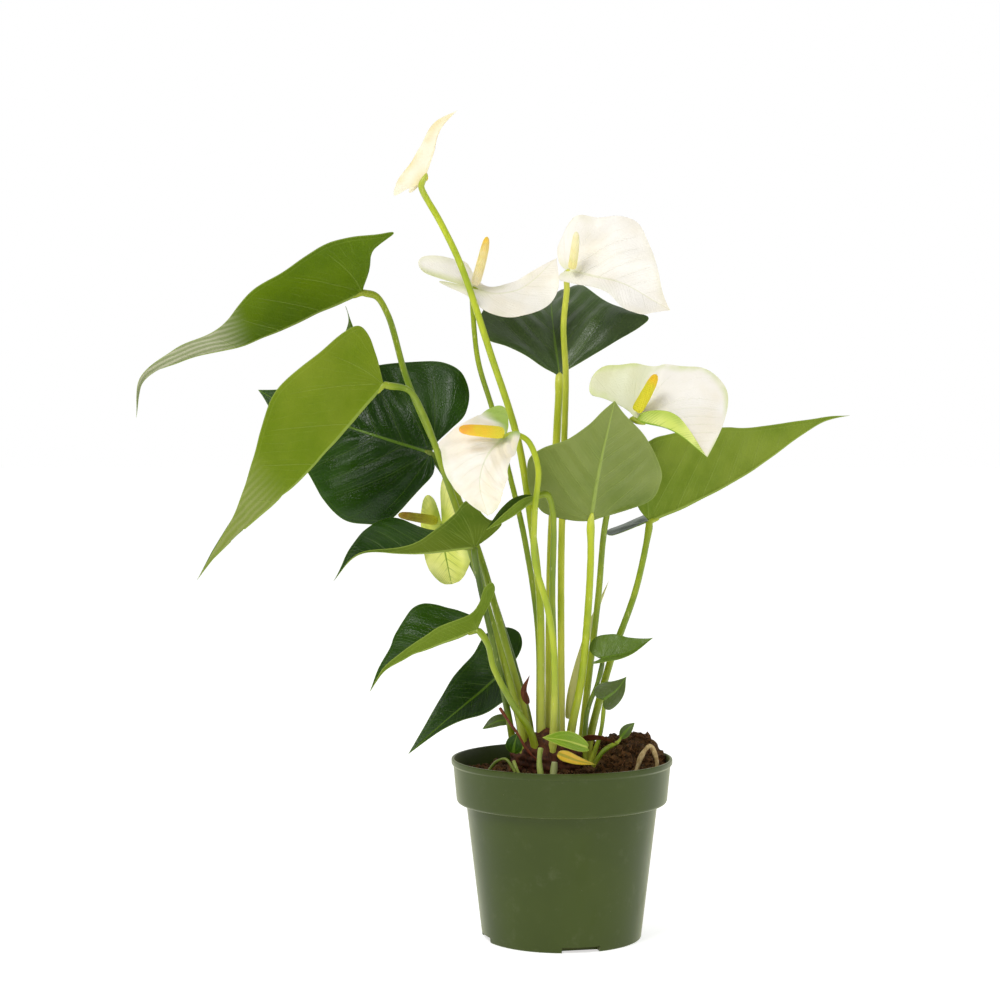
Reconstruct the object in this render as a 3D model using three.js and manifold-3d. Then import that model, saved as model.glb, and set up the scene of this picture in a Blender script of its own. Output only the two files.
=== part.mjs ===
// A flowering anthurium in a round nursery pot, in millimetres, +Z up.
// The origin is the centre of the pot's underside, and -Y is the plant's front.
import * as THREE from "three";
import { mergeVertices } from "three/addons/utils/BufferGeometryUtils.js";
import Module from "manifold-3d";

const wasm = await Module();
wasm.setup();

// ---------------------------------------------------------------- driving dimensions

const POT_HEIGHT = 122;
const BAND_HEIGHT = 30;
const RIM_RADIUS = 75;
const BAND_RADIUS = 71.5;
const BODY_TOP_RADIUS = 65;
const FOOT_RADIUS = 54;
const WALL = 1.8;
const FLOOR = 2.4;
const POT_SIDES = 48;
const EDGE_ROUND = 1;
const LIP_HEIGHT = 4;
const NOTCH = { width: 26, height: 3.8, depth: 9, count: 4 };
const NOTCH_TURN = 0.22;
const DRAIN_HOLE = { radius: 4.5, ring: 32, count: 6, sides: 12 };

const SOIL_GAP = 0.5;
const SOIL_EDGE = 109;
const SOIL_FLARE = 1.2; // how much wider the soil is at its top than at the ledge
const SOIL_RINGS = [62, 50, 38, 26, 13, 0];
const SOIL_SIDES = 30;
const MOUNDS = [
  { x: 52, y: 22, radius: 30, height: 21 },
  { x: -6, y: 4, radius: 30, height: 9 },
  { x: 20, y: 38, radius: 32, height: 9 },
];
const CROWN = { at: [-9, -4, 122], size: [25, 21, 20] };

const CROWN_LUMP = 0.07; // of its size

const FIT_GAP = 0.7; // between a stalk's foot and its socket
const STALK_SIDES = 6;
const SPADIX_SIDES = 10;
const SPADIX_PROFILE = [[0, 0], [0.8, 0], [1, 0.25], [0.92, 0.6], [0.72, 0.88], [0.4, 0.98], [0, 1]];
const LEAF_THICKNESS = 1.2;
const SPATHE_THICKNESS = 1.1;
const LARGE_BLADE = { steps: 14, ribs: 3 };
const SMALL_BLADE = { steps: 10, ribs: 2 };
const SMALL_LEAF_WIDTH = 18;
const LOBE_STEPS = 4;
const OUTLINE_SAMPLES = 200;
const SHORTEST_LOBE = -0.02; // in blade lengths
const FULL_THICKNESS_WIDTH = 5; // a blade narrower than this is thinner too
const THINNEST_SHARE = 0.35;

// ---------------------------------------------------------------- outlines
// Each outline runs along one half of a blade from the stalk to the tip: x along the midrib in
// blade lengths, y across in half-widths.

const HEART = [
  [0, 0],
  [-0.1, 0.12],
  [-0.2, 0.32],
  [-0.23, 0.58],
  [-0.14, 0.85],
  [0.04, 0.99],
  [0.22, 0.97],
  [0.42, 0.82],
  [0.62, 0.57],
  [0.8, 0.28],
  [0.92, 0.09],
  [1, 0],
];
const OVAL = [
  [0, 0],
  [-0.02, 0.3],
  [0.1, 0.72],
  [0.32, 1],
  [0.6, 0.86],
  [0.85, 0.38],
  [1, 0],
];
const LANCE = [
  [0, 0],
  [0.02, 0.55],
  [0.2, 1],
  [0.5, 0.8],
  [0.8, 0.35],
  [1, 0],
];

// ---------------------------------------------------------------- the blades
// rib: the midrib from stalk to tip. face: the way the upper side looks. width: the two half-widths.
// fold: how far each half is raised towards the upper side, in degrees. curl: how much further it
// has turned at its margin. lobe: the length of the basal lobes against the outline's.
// Left is the half on the left of a viewer who looks at the upper side with the tip upwards.

const LEAVES = {
  leaf_upper_left: {
    rib: [[-136, 10, 438], [-172, 2, 421], [-212, -5, 403], [-256, -12, 391], [-280, -16, 378],
      [-285, -18, 353]],
    face: [-0.2, 0, 1],
    width: [60, 52],
    fold: [38, 38],
    curl: [10, 10],
    margins: [[
      [0, 0], [-0.05, 0.3], [-0.08, 0.55], [-0.17, 0.66], [-0.11, 0.75], [0, 0.87], [0.1, 0.91],
      [0.25, 0.82], [0.37, 0.75], [0.46, 0.58], [0.56, 0.34], [0.71, 0.22], [0.82, 0.1], [1, 0],
    ], [
      [0, 0], [-0.03, 0.3], [-0.05, 0.52], [-0.08, 0.66], [-0.04, 0.76], [0.04, 0.82], [0.14, 0.84],
      [0.26, 0.78], [0.38, 0.68], [0.48, 0.52], [0.58, 0.32], [0.71, 0.2], [0.82, 0.1], [1, 0],
    ]],
  },
  leaf_left: {
    rib: [[-120, -20, 375], [-144, -30, 347], [-175, -40, 312], [-226, -52, 265], [-240, -56, 247]],
    face: [-0.7, 0, 0.7],
    width: [62, 48],
    fold: [55, 74],
    curl: [12, 8],
    margins: [[
      [0, 0], [-0.04, 0.23], [-0.08, 0.5], [-0.08, 0.68], [-0.02, 0.77], [0.1, 0.83], [0.2, 0.88],
      [0.3, 0.9], [0.38, 0.84], [0.47, 0.72], [0.56, 0.56], [0.66, 0.35], [0.77, 0.17], [0.9, 0.05],
      [1, 0],
    ], [
      [0, 0], [-0.03, 0.25], [-0.06, 0.55], [-0.11, 0.9], [-0.15, 1.15], [-0.1, 0.95], [0.04, 0.82],
      [0.26, 0.88], [0.4, 0.8], [0.52, 0.62], [0.64, 0.4], [0.76, 0.21], [0.9, 0.07], [1, 0],
    ]],
  },
  leaf_left_back: {
    rib: [[-90, 35, 328], [-148, 52, 346], [-195, 74, 362], [-214, 84, 372]],
    face: [0.1, -1, 0.2],
    width: [62, 64],
    fold: [4, 4],
    curl: [-18, -18],
    margins: [[
      [0, 0], [-0.04, 0.1], [-0.05, 0.25], [-0.02, 0.42], [0.04, 0.7], [0.1, 0.9], [0.19, 0.98],
      [0.3, 1.01], [0.43, 0.87], [0.57, 0.62], [0.76, 0.32], [0.9, 0.1], [1, 0],
    ], [
      [0, 0], [-0.01, 0.12], [-0.05, 0.3], [-0.09, 0.52], [-0.07, 0.77], [0, 0.96], [0.09, 1.02],
      [0.19, 1], [0.33, 0.88], [0.52, 0.64], [0.74, 0.34], [0.9, 0.12], [1, 0],
    ]],
  },
  leaf_upper_back: {
    rib: [[-1, 32, 381], [-5, 56, 416], [-6, 90, 438], [-4, 128, 430]],
    face: [0, -0.75, 0.65],
    width: [56, 66],
    fold: [28, 26],
    curl: [-20, -20],
    margins: [[
      [0, 0], [0.04, 0.22], [0.1, 0.46], [0.15, 0.68], [0.19, 0.92], [0.3, 0.98], [0.45, 0.8],
      [0.65, 0.5], [0.85, 0.18], [1, 0],
    ], [
      [0, 0], [0.03, 0.14], [0.08, 0.38], [0.14, 0.68], [0.19, 0.93], [0.24, 1.02], [0.3, 0.84],
      [0.42, 0.62], [0.58, 0.42], [0.8, 0.18], [1, 0],
    ]],
  },
  leaf_middle: {
    rib: [[19, -12, 283], [24, -28, 319], [33, -52, 364]],
    face: [0, 0.8, 0.6],
    width: [46, 50],
    fold: [12, 12],
    curl: [10, 10],
    margins: [[
      [0, 0], [0.04, 0.2], [0.08, 0.42], [0.13, 0.8], [0.2, 0.98], [0.33, 1.02], [0.46, 0.93],
      [0.6, 0.77], [0.75, 0.52], [0.89, 0.2], [1, 0],
    ], [
      [0, 0], [-0.02, 0.17], [-0.03, 0.4], [-0.02, 0.66], [0.06, 0.8], [0.2, 0.92], [0.36, 0.97],
      [0.48, 0.8], [0.6, 0.5], [0.74, 0.28], [0.89, 0.13], [1, 0],
    ]],
  },
  leaf_right: {
    rib: [[60, 15, 282], [97, 23, 298], [130, 31, 316], [182, 42, 350], [201, 46, 354]],
    face: [-0.35, 0, 0.9],
    width: [54, 58],
    fold: [6, 62],
    curl: [-8, 8],
    margins: [[
      [0, 0], [-0.09, 0.03], [-0.16, 0.2], [-0.15, 0.6], [-0.09, 0.9], [0, 0.94], [0.1, 0.92],
      [0.22, 0.9], [0.36, 0.84], [0.5, 0.72], [0.65, 0.52], [0.8, 0.28], [0.92, 0.09], [1, 0],
    ], [
      [0, 0], [-0.03, 0.25], [-0.02, 0.6], [0.04, 0.9], [0.11, 0.98], [0.18, 0.96], [0.3, 0.87],
      [0.46, 0.69], [0.61, 0.44], [0.75, 0.22], [0.87, 0.06], [1, 0],
    ]],
  },
  leaf_mid_left: {
    rib: [[-59, -25, 267], [-98, -30, 263], [-136, -36, 262], [-152, -40, 245]],
    face: [-0.1, -0.1, 1],
    width: [36, 44],
    fold: [52, 40],
    curl: [10, -30],
    margins: [[
      [0, 0], [-0.1, 0.2], [-0.18, 0.5], [-0.1, 0.62], [-0.05, 0.8], [0, 1.1], [0.06, 1.12],
      [0.13, 0.86], [0.24, 0.56], [0.37, 0.3], [0.54, 0.11], [0.77, 0.03], [1, 0],
    ], [
      [0, 0], [-0.06, 0.3], [0.02, 0.42], [0.2, 0.48], [0.31, 0.58], [0.42, 0.82], [0.52, 1.01],
      [0.6, 0.86], [0.68, 0.55], [0.76, 0.25], [0.86, 0.08], [1, 0],
    ]],
  },
  leaf_narrow: {
    rib: [[-20, -34, 299], [-36, -40, 287], [-51, -43, 279]],
    face: [-0.5, -0.4, 0.7],
    width: [9, 9],
    fold: [55, 55],
    curl: [10, 10],
    outline: OVAL,
  },
  leaf_lower_left: {
    rib: [[-57, -30, 212], [-80, -35, 204], [-105, -40, 194], [-118, -43, 186], [-128, -45, 172]],
    face: [-0.1, -0.35, 1],
    width: [26, 34],
    fold: [78, 22],
    curl: [10, 10],
    margins: [[
      [0, 0], [-0.06, 0.3], [-0.14, 0.6], [-0.21, 0.95], [-0.2, 1.18], [-0.13, 1.08], [-0.06, 0.74],
      [0.03, 0.54], [0.17, 0.51], [0.3, 0.48], [0.42, 0.38],
      [0.54, 0.27], [0.68, 0.17], [0.85, 0.07], [1, 0],
    ], [
      [0, 0], [-0.02, 0.3], [0.06, 0.58], [0.14, 0.78], [0.21, 0.95], [0.29, 1.05], [0.39, 1.02],
      [0.48, 0.87], [0.58, 0.65], [0.68, 0.36], [0.82, 0.14], [1, 0],
    ]],
  },
  leaf_bottom_left: {
    rib: [[-39, 31, 177], [-62, 24, 158], [-83, 19, 141], [-105, 14, 122]],
    face: [-0.3, -0.85, 0.45],
    width: [18, 28],
    fold: [15, 10],
    curl: [10, 10],
    margins: [[
      [0, 0], [-0.01, 0.4], [0.03, 0.9], [0.08, 1.25], [0.15, 1.38], [0.25, 1.26], [0.38, 0.95],
      [0.52, 0.5], [0.7, 0.2], [1, 0],
    ], [
      [0, 0], [-0.14, 0.05], [-0.25, 0.22], [-0.3, 0.5], [-0.27, 0.78], [-0.18, 0.98], [-0.07, 1.02],
      [0.08, 0.86], [0.22, 0.8], [0.36, 0.72], [0.52, 0.54], [0.74, 0.28], [1, 0],
    ]],
  },
  leaf_small_right: {
    rib: [[27, -10, 190], [46, -12, 195], [61, -15, 205]],
    face: [-0.35, -0.75, 0.55],
    width: [17, 8],
    fold: [12, 40],
    curl: [0, 0],
    lobe: 0.8,
  },
  leaf_small_grey: {
    rib: [[28, -15, 163], [37, -15, 170], [43, -16, 179]],
    face: [-0.3, -0.8, 0.4],
    width: [11, 10],
    fold: [12, 12],
    curl: [0, 0],
    lobe: 0.6,
  },
  leaf_sprout_right: {
    rib: [[39, -24, 139], [43, -25, 144], [48, -25, 149]],
    face: [-0.3, -0.8, 0.4],
    width: [4, 4],
    fold: [10, 10],
    curl: [0, 0],
    outline: OVAL,
  },
  leaf_sprout_left: {
    rib: [[-34, 6, 146], [-43, 4, 146], [-54, 2, 141]],
    face: [0, -0.7, 0.7],
    width: [5, 5],
    fold: [15, 15],
    curl: [0, 0],
    outline: OVAL,
  },
  leaf_sprout_dark: {
    rib: [[-33, -26, 129], [-32, -28, 136], [-30, -29, 143]],
    face: [-0.2, -0.9, 0.2],
    width: [6, 6],
    fold: [8, 8],
    curl: [0, 0],
    outline: OVAL,
  },
  leaf_sprout_bright: {
    rib: [[16, -38, 134], [2, -43, 139], [-14, -46, 142]],
    face: [0, -0.7, 0.8],
    width: [8, 8],
    fold: [14, 14],
    curl: [0, 0],
    outline: OVAL,
  },
  leaf_fading: {
    rib: [[-4, -50, 132], [9, -56, 128], [21, -59, 126]],
    face: [0, -0.8, 0.5],
    width: [4, 4],
    fold: [10, 10],
    curl: [0, 0],
    outline: LANCE,
  },
};

const SPATHES = {
  spathe_top: {
    rib: [[-95, 1, 511], [-87, 3, 531], [-82, 5, 548], [-71, 8, 560]],
    face: [-1, 0.3, 0],
    width: [20, 20],
    fold: [45, 50],
    curl: [10, 10],
    margins: [[
      [0, 0], [-0.04, 0.08], [-0.1, 0.3], [-0.14, 0.55], [-0.06, 0.72], [0.16, 0.66], [0.36, 0.52],
      [0.61, 0.37], [0.82, 0.17], [1, 0],
    ], [
      [0, 0], [-0.05, 0.08], [-0.14, 0.35], [-0.28, 0.7], [-0.1, 0.78], [0.16, 0.6], [0.36, 0.52],
      [0.61, 0.37], [0.82, 0.17], [1, 0],
    ]],
  },
  spathe_upper_left: {
    rib: [[-61, 18, 441], [-46, 21, 437], [-27, 25, 441], [-3, 32, 462]],
    face: [0.1, -0.3, 0.95],
    width: [26, 30],
    fold: [20, -22],
    curl: [45, -20],
    margins: [[
      [0, 0], [-0.2, 0.01], [-0.42, 0.04], [-0.52, 0.14], [-0.57, 0.38], [-0.54, 0.6], [-0.42, 0.72],
      [-0.26, 0.8], [-0.1, 0.78], [0, 0.5], [0.1, 0.28], [0.25, 0.28], [0.42, 0.34], [0.6, 0.3],
      [0.74, 0.23], [0.88, 0.12], [1, 0],
    ], [
      [0, 0], [-0.15, 0.02], [-0.28, 0.05], [-0.34, 0.12], [-0.22, 0.22], [-0.02, 0.34], [0.16, 0.62],
      [0.38, 0.76], [0.58, 0.76], [0.8, 0.52], [1, 0],
    ]],
  },
  spathe_big: {
    rib: [[3, -8, 451], [39, -18, 442], [71, -26, 424]],
    face: [0, -0.9, 0.4],
    width: [54, 18],
    fold: [6, 10],
    curl: [0, 10],
    margins: [[
      [0, 0], [-0.09, 0.08], [-0.15, 0.26], [-0.14, 0.45], [-0.11, 0.65], [-0.04, 0.75], [0.15, 0.8],
      [0.32, 0.85], [0.44, 0.83], [0.56, 0.62], [0.74, 0.32], [0.89, 0.11], [1, 0],
    ], [
      [0, 0], [-0.05, 0.25], [-0.02, 0.5], [0.12, 0.52], [0.24, 0.48], [0.4, 0.62], [0.57, 0.85],
      [0.73, 1.02], [0.83, 0.92], [0.9, 0.42], [1, 0],
    ]],
  },
  spathe_hanging: {
    rib: [[-38, -46, 341], [-50, -56, 328], [-55, -60, 310], [-50, -58, 289]],
    face: [-0.3, -0.9, 0.2],
    width: [20, 30],
    fold: [20, 14],
    curl: [10, 10],
    margins: [[
      [0, 0], [-0.08, 0.1], [-0.1, 0.35], [0.1, 0.75], [0.3, 1.02], [0.5, 1.16], [0.68, 1.1],
      [0.87, 0.68], [0.97, 0.3], [1, 0],
    ], [
      [0, 0], [-0.12, 0.12], [-0.23, 0.34], [-0.24, 0.52], [-0.14, 0.68], [0, 0.74], [0.14, 0.8],
      [0.28, 0.94], [0.4, 1.08], [0.46, 0.96], [0.58, 0.78], [0.67, 0.58], [0.77, 0.38], [0.89, 0.2],
      [1, 0],
    ]],
  },
  spathe_green: {
    rib: [[-82, 22, 280], [-80, 25, 262], [-75, 24, 238]],
    face: [-0.4, -0.9, 0.1],
    width: [18, 14],
    fold: [10, 10],
    curl: [0, 0],
    margins: [[
      [0, 0], [-0.3, 0.06], [-0.6, 0.16], [-0.78, 0.4], [-0.66, 0.75], [-0.2, 1], [0.3, 1.12],
      [0.65, 1.05], [0.88, 0.72], [0.98, 0.34], [1, 0],
    ], [
      [0, 0], [-0.2, 0.08], [-0.4, 0.24], [-0.48, 0.55], [-0.36, 0.85], [-0.05, 1.05], [0.35, 1.1],
      [0.68, 0.98], [0.88, 0.68], [0.98, 0.34], [1, 0],
    ]],
  },
  spathe_right: {
    rib: [[48, -34, 351], [74, -42, 343], [94, -48, 327]],
    face: [0.1, -0.85, 0.5],
    width: [44, 14],
    fold: [6, 122],
    curl: [0, 10],
    margins: [[
      [0, 0], [-0.11, 0.1], [-0.3, 0.17], [-0.5, 0.2], [-0.64, 0.2], [-0.71, 0.32], [-0.71, 0.55],
      [-0.6, 0.75], [-0.34, 0.89], [0, 1], [0.3, 1.1], [0.46, 1.16], [0.6, 1.1], [0.7, 0.95],
      [0.84, 0.6], [0.94, 0.28], [1, 0],
    ], [
      [0, 0], [0.07, 0.5], [0.3, 0.82], [0.45, 0.82], [0.61, 0.54], [0.82, 0.22], [1, 0],
    ]],
  },
};

const SPADICES = {
  spadix_top: { from: [-93, 8, 514], to: [-98, 36, 528], radius: 3 },
  spadix_upper_left: { from: [-59, 16, 443], to: [-49, 12, 475], radius: 3.4 },
  spadix_big: { from: [6, -16, 452], to: [10, -24, 476], radius: 3 },
  spadix_hanging: { from: [-40, -53, 343], to: [-68, -67, 346], radius: 4.2 },
  spadix_green: { from: [-85, 17, 282], to: [-111, 8, 287], radius: 3.4 },
  spadix_right: { from: [48, -36, 357], to: [62, -40, 381], radius: 4 },
};

// ---------------------------------------------------------------- the stalks

const STALKS = {
  petiole_upper_left: {
    radius: 2.4,
    path: [[-22, -4, 118], [-24, -2, 145], [-39, 0, 202], [-58, 4, 266], [-83, 8, 327], [-105, 10, 378],
      [-118, 11, 422], [-126, 11, 435], [-133, 10, 437]],
  },
  petiole_left: {
    radius: 2.3,
    path: [[-25, -12, 118], [-28, -11, 146], [-45, -10, 207], [-63, -8, 267], [-80, -8, 317], [-93, -10, 354],
      [-103, -14, 371], [-116, -19, 374]],
  },
  petiole_left_back: {
    radius: 2.4,
    path: [[-21, 6, 118], [-22, 8, 143], [-42, 16, 214], [-63, 24, 272], [-79, 32, 311], [-88, 37, 325]],
  },
  petiole_upper_back: {
    radius: 3,
    path: [[-8, 5, 118], [-8, 6, 143], [-7, 20, 255], [-3, 30, 337], [-1, 31, 377]],
  },
  petiole_middle: {
    radius: 2.6,
    path: [[5, -9, 118], [6, -9, 140], [13, -11, 177], [17, -12, 219], [19, -12, 258], [19, -12, 279]],
  },
  petiole_right: {
    radius: 2.4,
    path: [[16, 3, 118], [20, 3, 138], [33, 6, 186], [51, 12, 236], [60, 15, 278]],
  },
  petiole_mid_left: {
    radius: 2.1,
    path: [[-31, 5, 118], [-37, -6, 155], [-47, -19, 203], [-56, -24, 244], [-59, -25, 263]],
  },
  petiole_narrow: {
    radius: 2.2,
    path: [[-3, -14, 118], [-4, -16, 147], [-7, -24, 231], [-7, -31, 290], [-11, -33, 302], [-17, -33, 301]],
  },
  petiole_lower_left: {
    radius: 2.2,
    path: [[-17, -15, 122], [-21, -21, 141], [-33, -27, 161], [-46, -30, 186], [-50, -31, 202],
      [-55, -30, 210]],
  },
  petiole_bottom_left: {
    radius: 2.2,
    path: [[-20, 15, 118], [-22, 18, 143], [-28, 26, 160], [-36, 31, 174]],
  },
  petiole_small_right: {
    radius: 1.6,
    path: [[15, -7, 120], [17, -6, 153], [24, -8, 174], [27, -10, 187]],
  },
  petiole_small_grey: {
    radius: 1.3,
    path: [[19, -15, 120], [26, -15, 142], [28, -15, 160]],
  },
  petiole_sprout_right: {
    radius: 1.2,
    path: [[20, -26, 120], [28, -27, 131], [37, -25, 136]],
  },
  peduncle_top: {
    radius: 2.5,
    path: [[-13, -4, 118], [-14, -4, 144], [-15, 0, 229], [-21, 4, 283], [-30, 6, 338], [-49, 4, 398],
      [-69, 2, 457], [-82, 1, 484], [-95, 1, 508]],
  },
  peduncle_upper_left: {
    radius: 2,
    path: [[-14, 12, 118], [-15, 12, 142], [-16, 16, 207], [-25, 17, 269], [-37, 17, 320], [-47, 16, 358],
      [-57, 15, 392], [-61, 19, 434]],
  },
  peduncle_big: {
    radius: 2.3,
    path: [[0, 12, 118], [0, 13, 160], [0, 18, 255], [2, 20, 337], [3, 18, 381], [1, 4, 415], [3, -5, 439]],
  },
  peduncle_hanging: {
    radius: 2.2,
    path: [[-7, -17, 122], [-6, -21, 144], [-6, -29, 196], [-10, -33, 225], [-19, -37, 259], [-19, -41, 292],
      [-17, -43, 320], [-24, -43, 338], [-33, -43, 342]],
  },
  peduncle_green: {
    radius: 1.7,
    path: [[-27, 8, 118], [-29, 7, 143], [-46, 10, 204], [-58, 15, 245], [-72, 23, 268], [-80, 24, 278]],
  },
  peduncle_right: {
    radius: 2.2,
    path: [[13, 13, 118], [15, 12, 142], [25, 14, 228], [30, 10, 282], [40, -10, 324], [46, -31, 352]],
  },
};

const ROOTS = {
  root_arch: {
    radius: 1.7,
    path: [[47, -34, 110], [52, -31, 127], [58, -30, 134], [62, -30, 127], [63, -29, 112]],
  },
  root_red: {
    radius: 1,
    path: [[-42, -20, 158], [-36, -28, 150], [-30, -31, 142], [-24, -33, 132], [-14, -34, 122]],
  },
  runner_left: {
    radius: 1.1,
    path: [[-58, -28, 108], [-50, -30, 117], [-44, -32, 124], [-38, -36, 126], [-32, -40, 118]],
  },
  runner_front: {
    radius: 1.1,
    path: [[-33, -44, 126], [-31, -48, 121], [-27, -50, 114], [-24, -50, 106]],
  },
  shoot_left: {
    radius: 2.1,
    path: [[-14, -52, 104], [-15, -49, 116], [-16, -45, 127], [-15, -41, 134]],
  },
  shoot_right: {
    radius: 2.6,
    path: [[-7, -54, 104], [-7, -51, 116], [-6, -48, 126]],
  },
};

const BRACTS = {
  cataphyll: {
    rib: [[5, 17, 146], [12, 19, 176], [22, 22, 212], [33, 24, 241]],
    face: [-0.4, 0.9, 0.1],
    width: [5, 5],
    fold: [30, 30],
    curl: [30, 30],
    outline: LANCE,
  },
  bract_left: {
    rib: [[-23, -13, 160], [-26, -15, 169], [-22, -16, 180]],
    face: [0, 1, 0],
    width: [2.5, 2.5],
    fold: [20, 20],
    curl: [0, 0],
    outline: LANCE,
  },
  bract_right: {
    rib: [[14, -24, 137], [24, -30, 139], [36, -33, 136]],
    face: [0, 0.5, 0.8],
    width: [5, 5],
    fold: [10, 10],
    curl: [0, 0],
    outline: LANCE,
  },
};

// ---------------------------------------------------------------- materials

function material(color, roughness) {
  return new THREE.MeshStandardMaterial({ color, roughness, metalness: 0 });
}

const POT_GREEN = material(0x4b5a2d, 0.6);
const SOIL_BROWN = material(0x32191a, 0.95);
const CROWN_BROWN = material(0x5a2a12, 0.8);
const LEAF_GREEN = material(0x3f6a14, 0.35);
const LEAF_YOUNG = material(0x86b023, 0.4);
const STALK_GREEN = material(0x9ab82a, 0.4);
const SPATHE_WHITE = material(0xf6f2e2, 0.45);
const SPATHE_GREEN = material(0xbccb52, 0.45);
const SPADIX_YELLOW = material(0xe8c92c, 0.6);
const ROOT_RED = material(0x7a2f18, 0.7);
const ROOT_BEIGE = material(0xc9b48a, 0.7);
const BRACT_BROWN = material(0x6b3216, 0.8);
const HUSK_PALE = material(0xd2d48a, 0.6);
const ROOT_LOOKS = {
  root_arch: ROOT_BEIGE,
  root_red: ROOT_RED,
  runner_left: STALK_GREEN,
  runner_front: STALK_GREEN,
  shoot_left: HUSK_PALE,
  shoot_right: HUSK_PALE,
};

// ---------------------------------------------------------------- solid helpers

const vector = (p) => new THREE.Vector3(...p);

const smoothCurve = (points) => new THREE.CatmullRomCurve3(points.map(vector), false, "centripetal");

function closedGeometry(geometry) {
  const copy = geometry.clone();
  copy.deleteAttribute("normal");
  copy.deleteAttribute("uv");
  return mergeVertices(copy, 1e-3);
}

function toSolid(geometry) {
  const merged = closedGeometry(geometry);
  return new wasm.Manifold(
    new wasm.Mesh({
      numProp: 3,
      vertProperties: merged.attributes.position.array,
      triVerts: new Uint32Array(merged.index.array),
    }),
  );
}

function toGeometry(solid) {
  const mesh = solid.getMesh();
  const positions = new Float32Array(mesh.numVert * 3);
  for (let i = 0; i < mesh.numVert; i++) {
    positions.set(mesh.vertProperties.subarray(i * mesh.numProp, i * mesh.numProp + 3), i * 3);
  }
  const geometry = new THREE.BufferGeometry();
  geometry.setAttribute("position", new THREE.BufferAttribute(positions, 3));
  geometry.setIndex(new THREE.BufferAttribute(mesh.triVerts, 1));
  geometry.computeVertexNormals();
  return geometry;
}

function largestBody(solid) {
  return solid.decompose().reduce((a, b) => (a.volume() > b.volume() ? a : b));
}

function tube(path, radius) {
  const section = new THREE.Shape();
  for (let i = 0; i < STALK_SIDES; i++) {
    const angle = (2 * Math.PI * i) / STALK_SIDES;
    section[i ? "lineTo" : "moveTo"](radius * Math.cos(angle), radius * Math.sin(angle));
  }
  const steps = 2 * path.length;
  return new THREE.ExtrudeGeometry(section, { steps, bevelEnabled: false, extrudePath: smoothCurve(path) });
}

// ---------------------------------------------------------------- a blade as a thin closed solid

// The distance across and the height gained by a strip that starts at one angle and turns steadily.
function bentStrip(distance, startAngle, turnPerMm) {
  if (Math.abs(turnPerMm) < 1e-6) {
    return [distance * Math.cos(startAngle), distance * Math.sin(startAngle)];
  }
  const endAngle = startAngle + turnPerMm * distance;
  return [
    (Math.sin(endAngle) - Math.sin(startAngle)) / turnPerMm,
    (Math.cos(startAngle) - Math.cos(endAngle)) / turnPerMm,
  ];
}

function bladePoint(blade, curve, length, side, along, across) {
  const index = side > 0 ? 0 : 1;
  const position = THREE.MathUtils.clamp(along, 0, 1);
  const centre = curve.getPointAt(position);
  const tangent = curve.getTangentAt(position);
  const face = vector(blade.face);
  const normal = face.clone().addScaledVector(tangent, -face.dot(tangent)).normalize();
  const left = new THREE.Vector3().crossVectors(normal, tangent);
  if (along < 0) centre.addScaledVector(tangent, along * length);
  const turn = THREE.MathUtils.degToRad(blade.curl[index]) / blade.width[index];
  const start = THREE.MathUtils.degToRad(blade.fold[index]);
  const [out, up] = bentStrip(across * blade.width[index], start, turn);
  return centre.addScaledVector(left, side * out).addScaledVector(normal, up);
}

function marginCurve(blade, side) {
  const outline = blade.margins ? blade.margins[side > 0 ? 0 : 1] : (blade.outline ?? HEART);
  const stretch = outline === HEART ? (blade.lobe ?? 1) : 1;
  return new THREE.SplineCurve(outline.map(([x, y]) => new THREE.Vector2(x < 0 ? x * stretch : x, y)));
}

// The half-widths where an outline crosses a line across the midrib: nearest to the midrib, and furthest.
function crossings(line, along) {
  const back = line.reduce((low, p, i) => (p.x < line[low].x ? i : low), 0);
  const crossing = (from, to, step) => {
    for (let i = from; i !== to; i += step) {
      const [a, b] = [line[i], line[i + step]];
      if (a.x > along || b.x < along) continue;
      return b.x > a.x ? a.y + ((b.y - a.y) * (along - a.x)) / (b.x - a.x) : a.y;
    }
    return line[back].y;
  };
  const near = along < 0 ? crossing(back, 0, -1) : 0;
  return [near, Math.max(near, crossing(back, line.length - 1, 1))];
}

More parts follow.
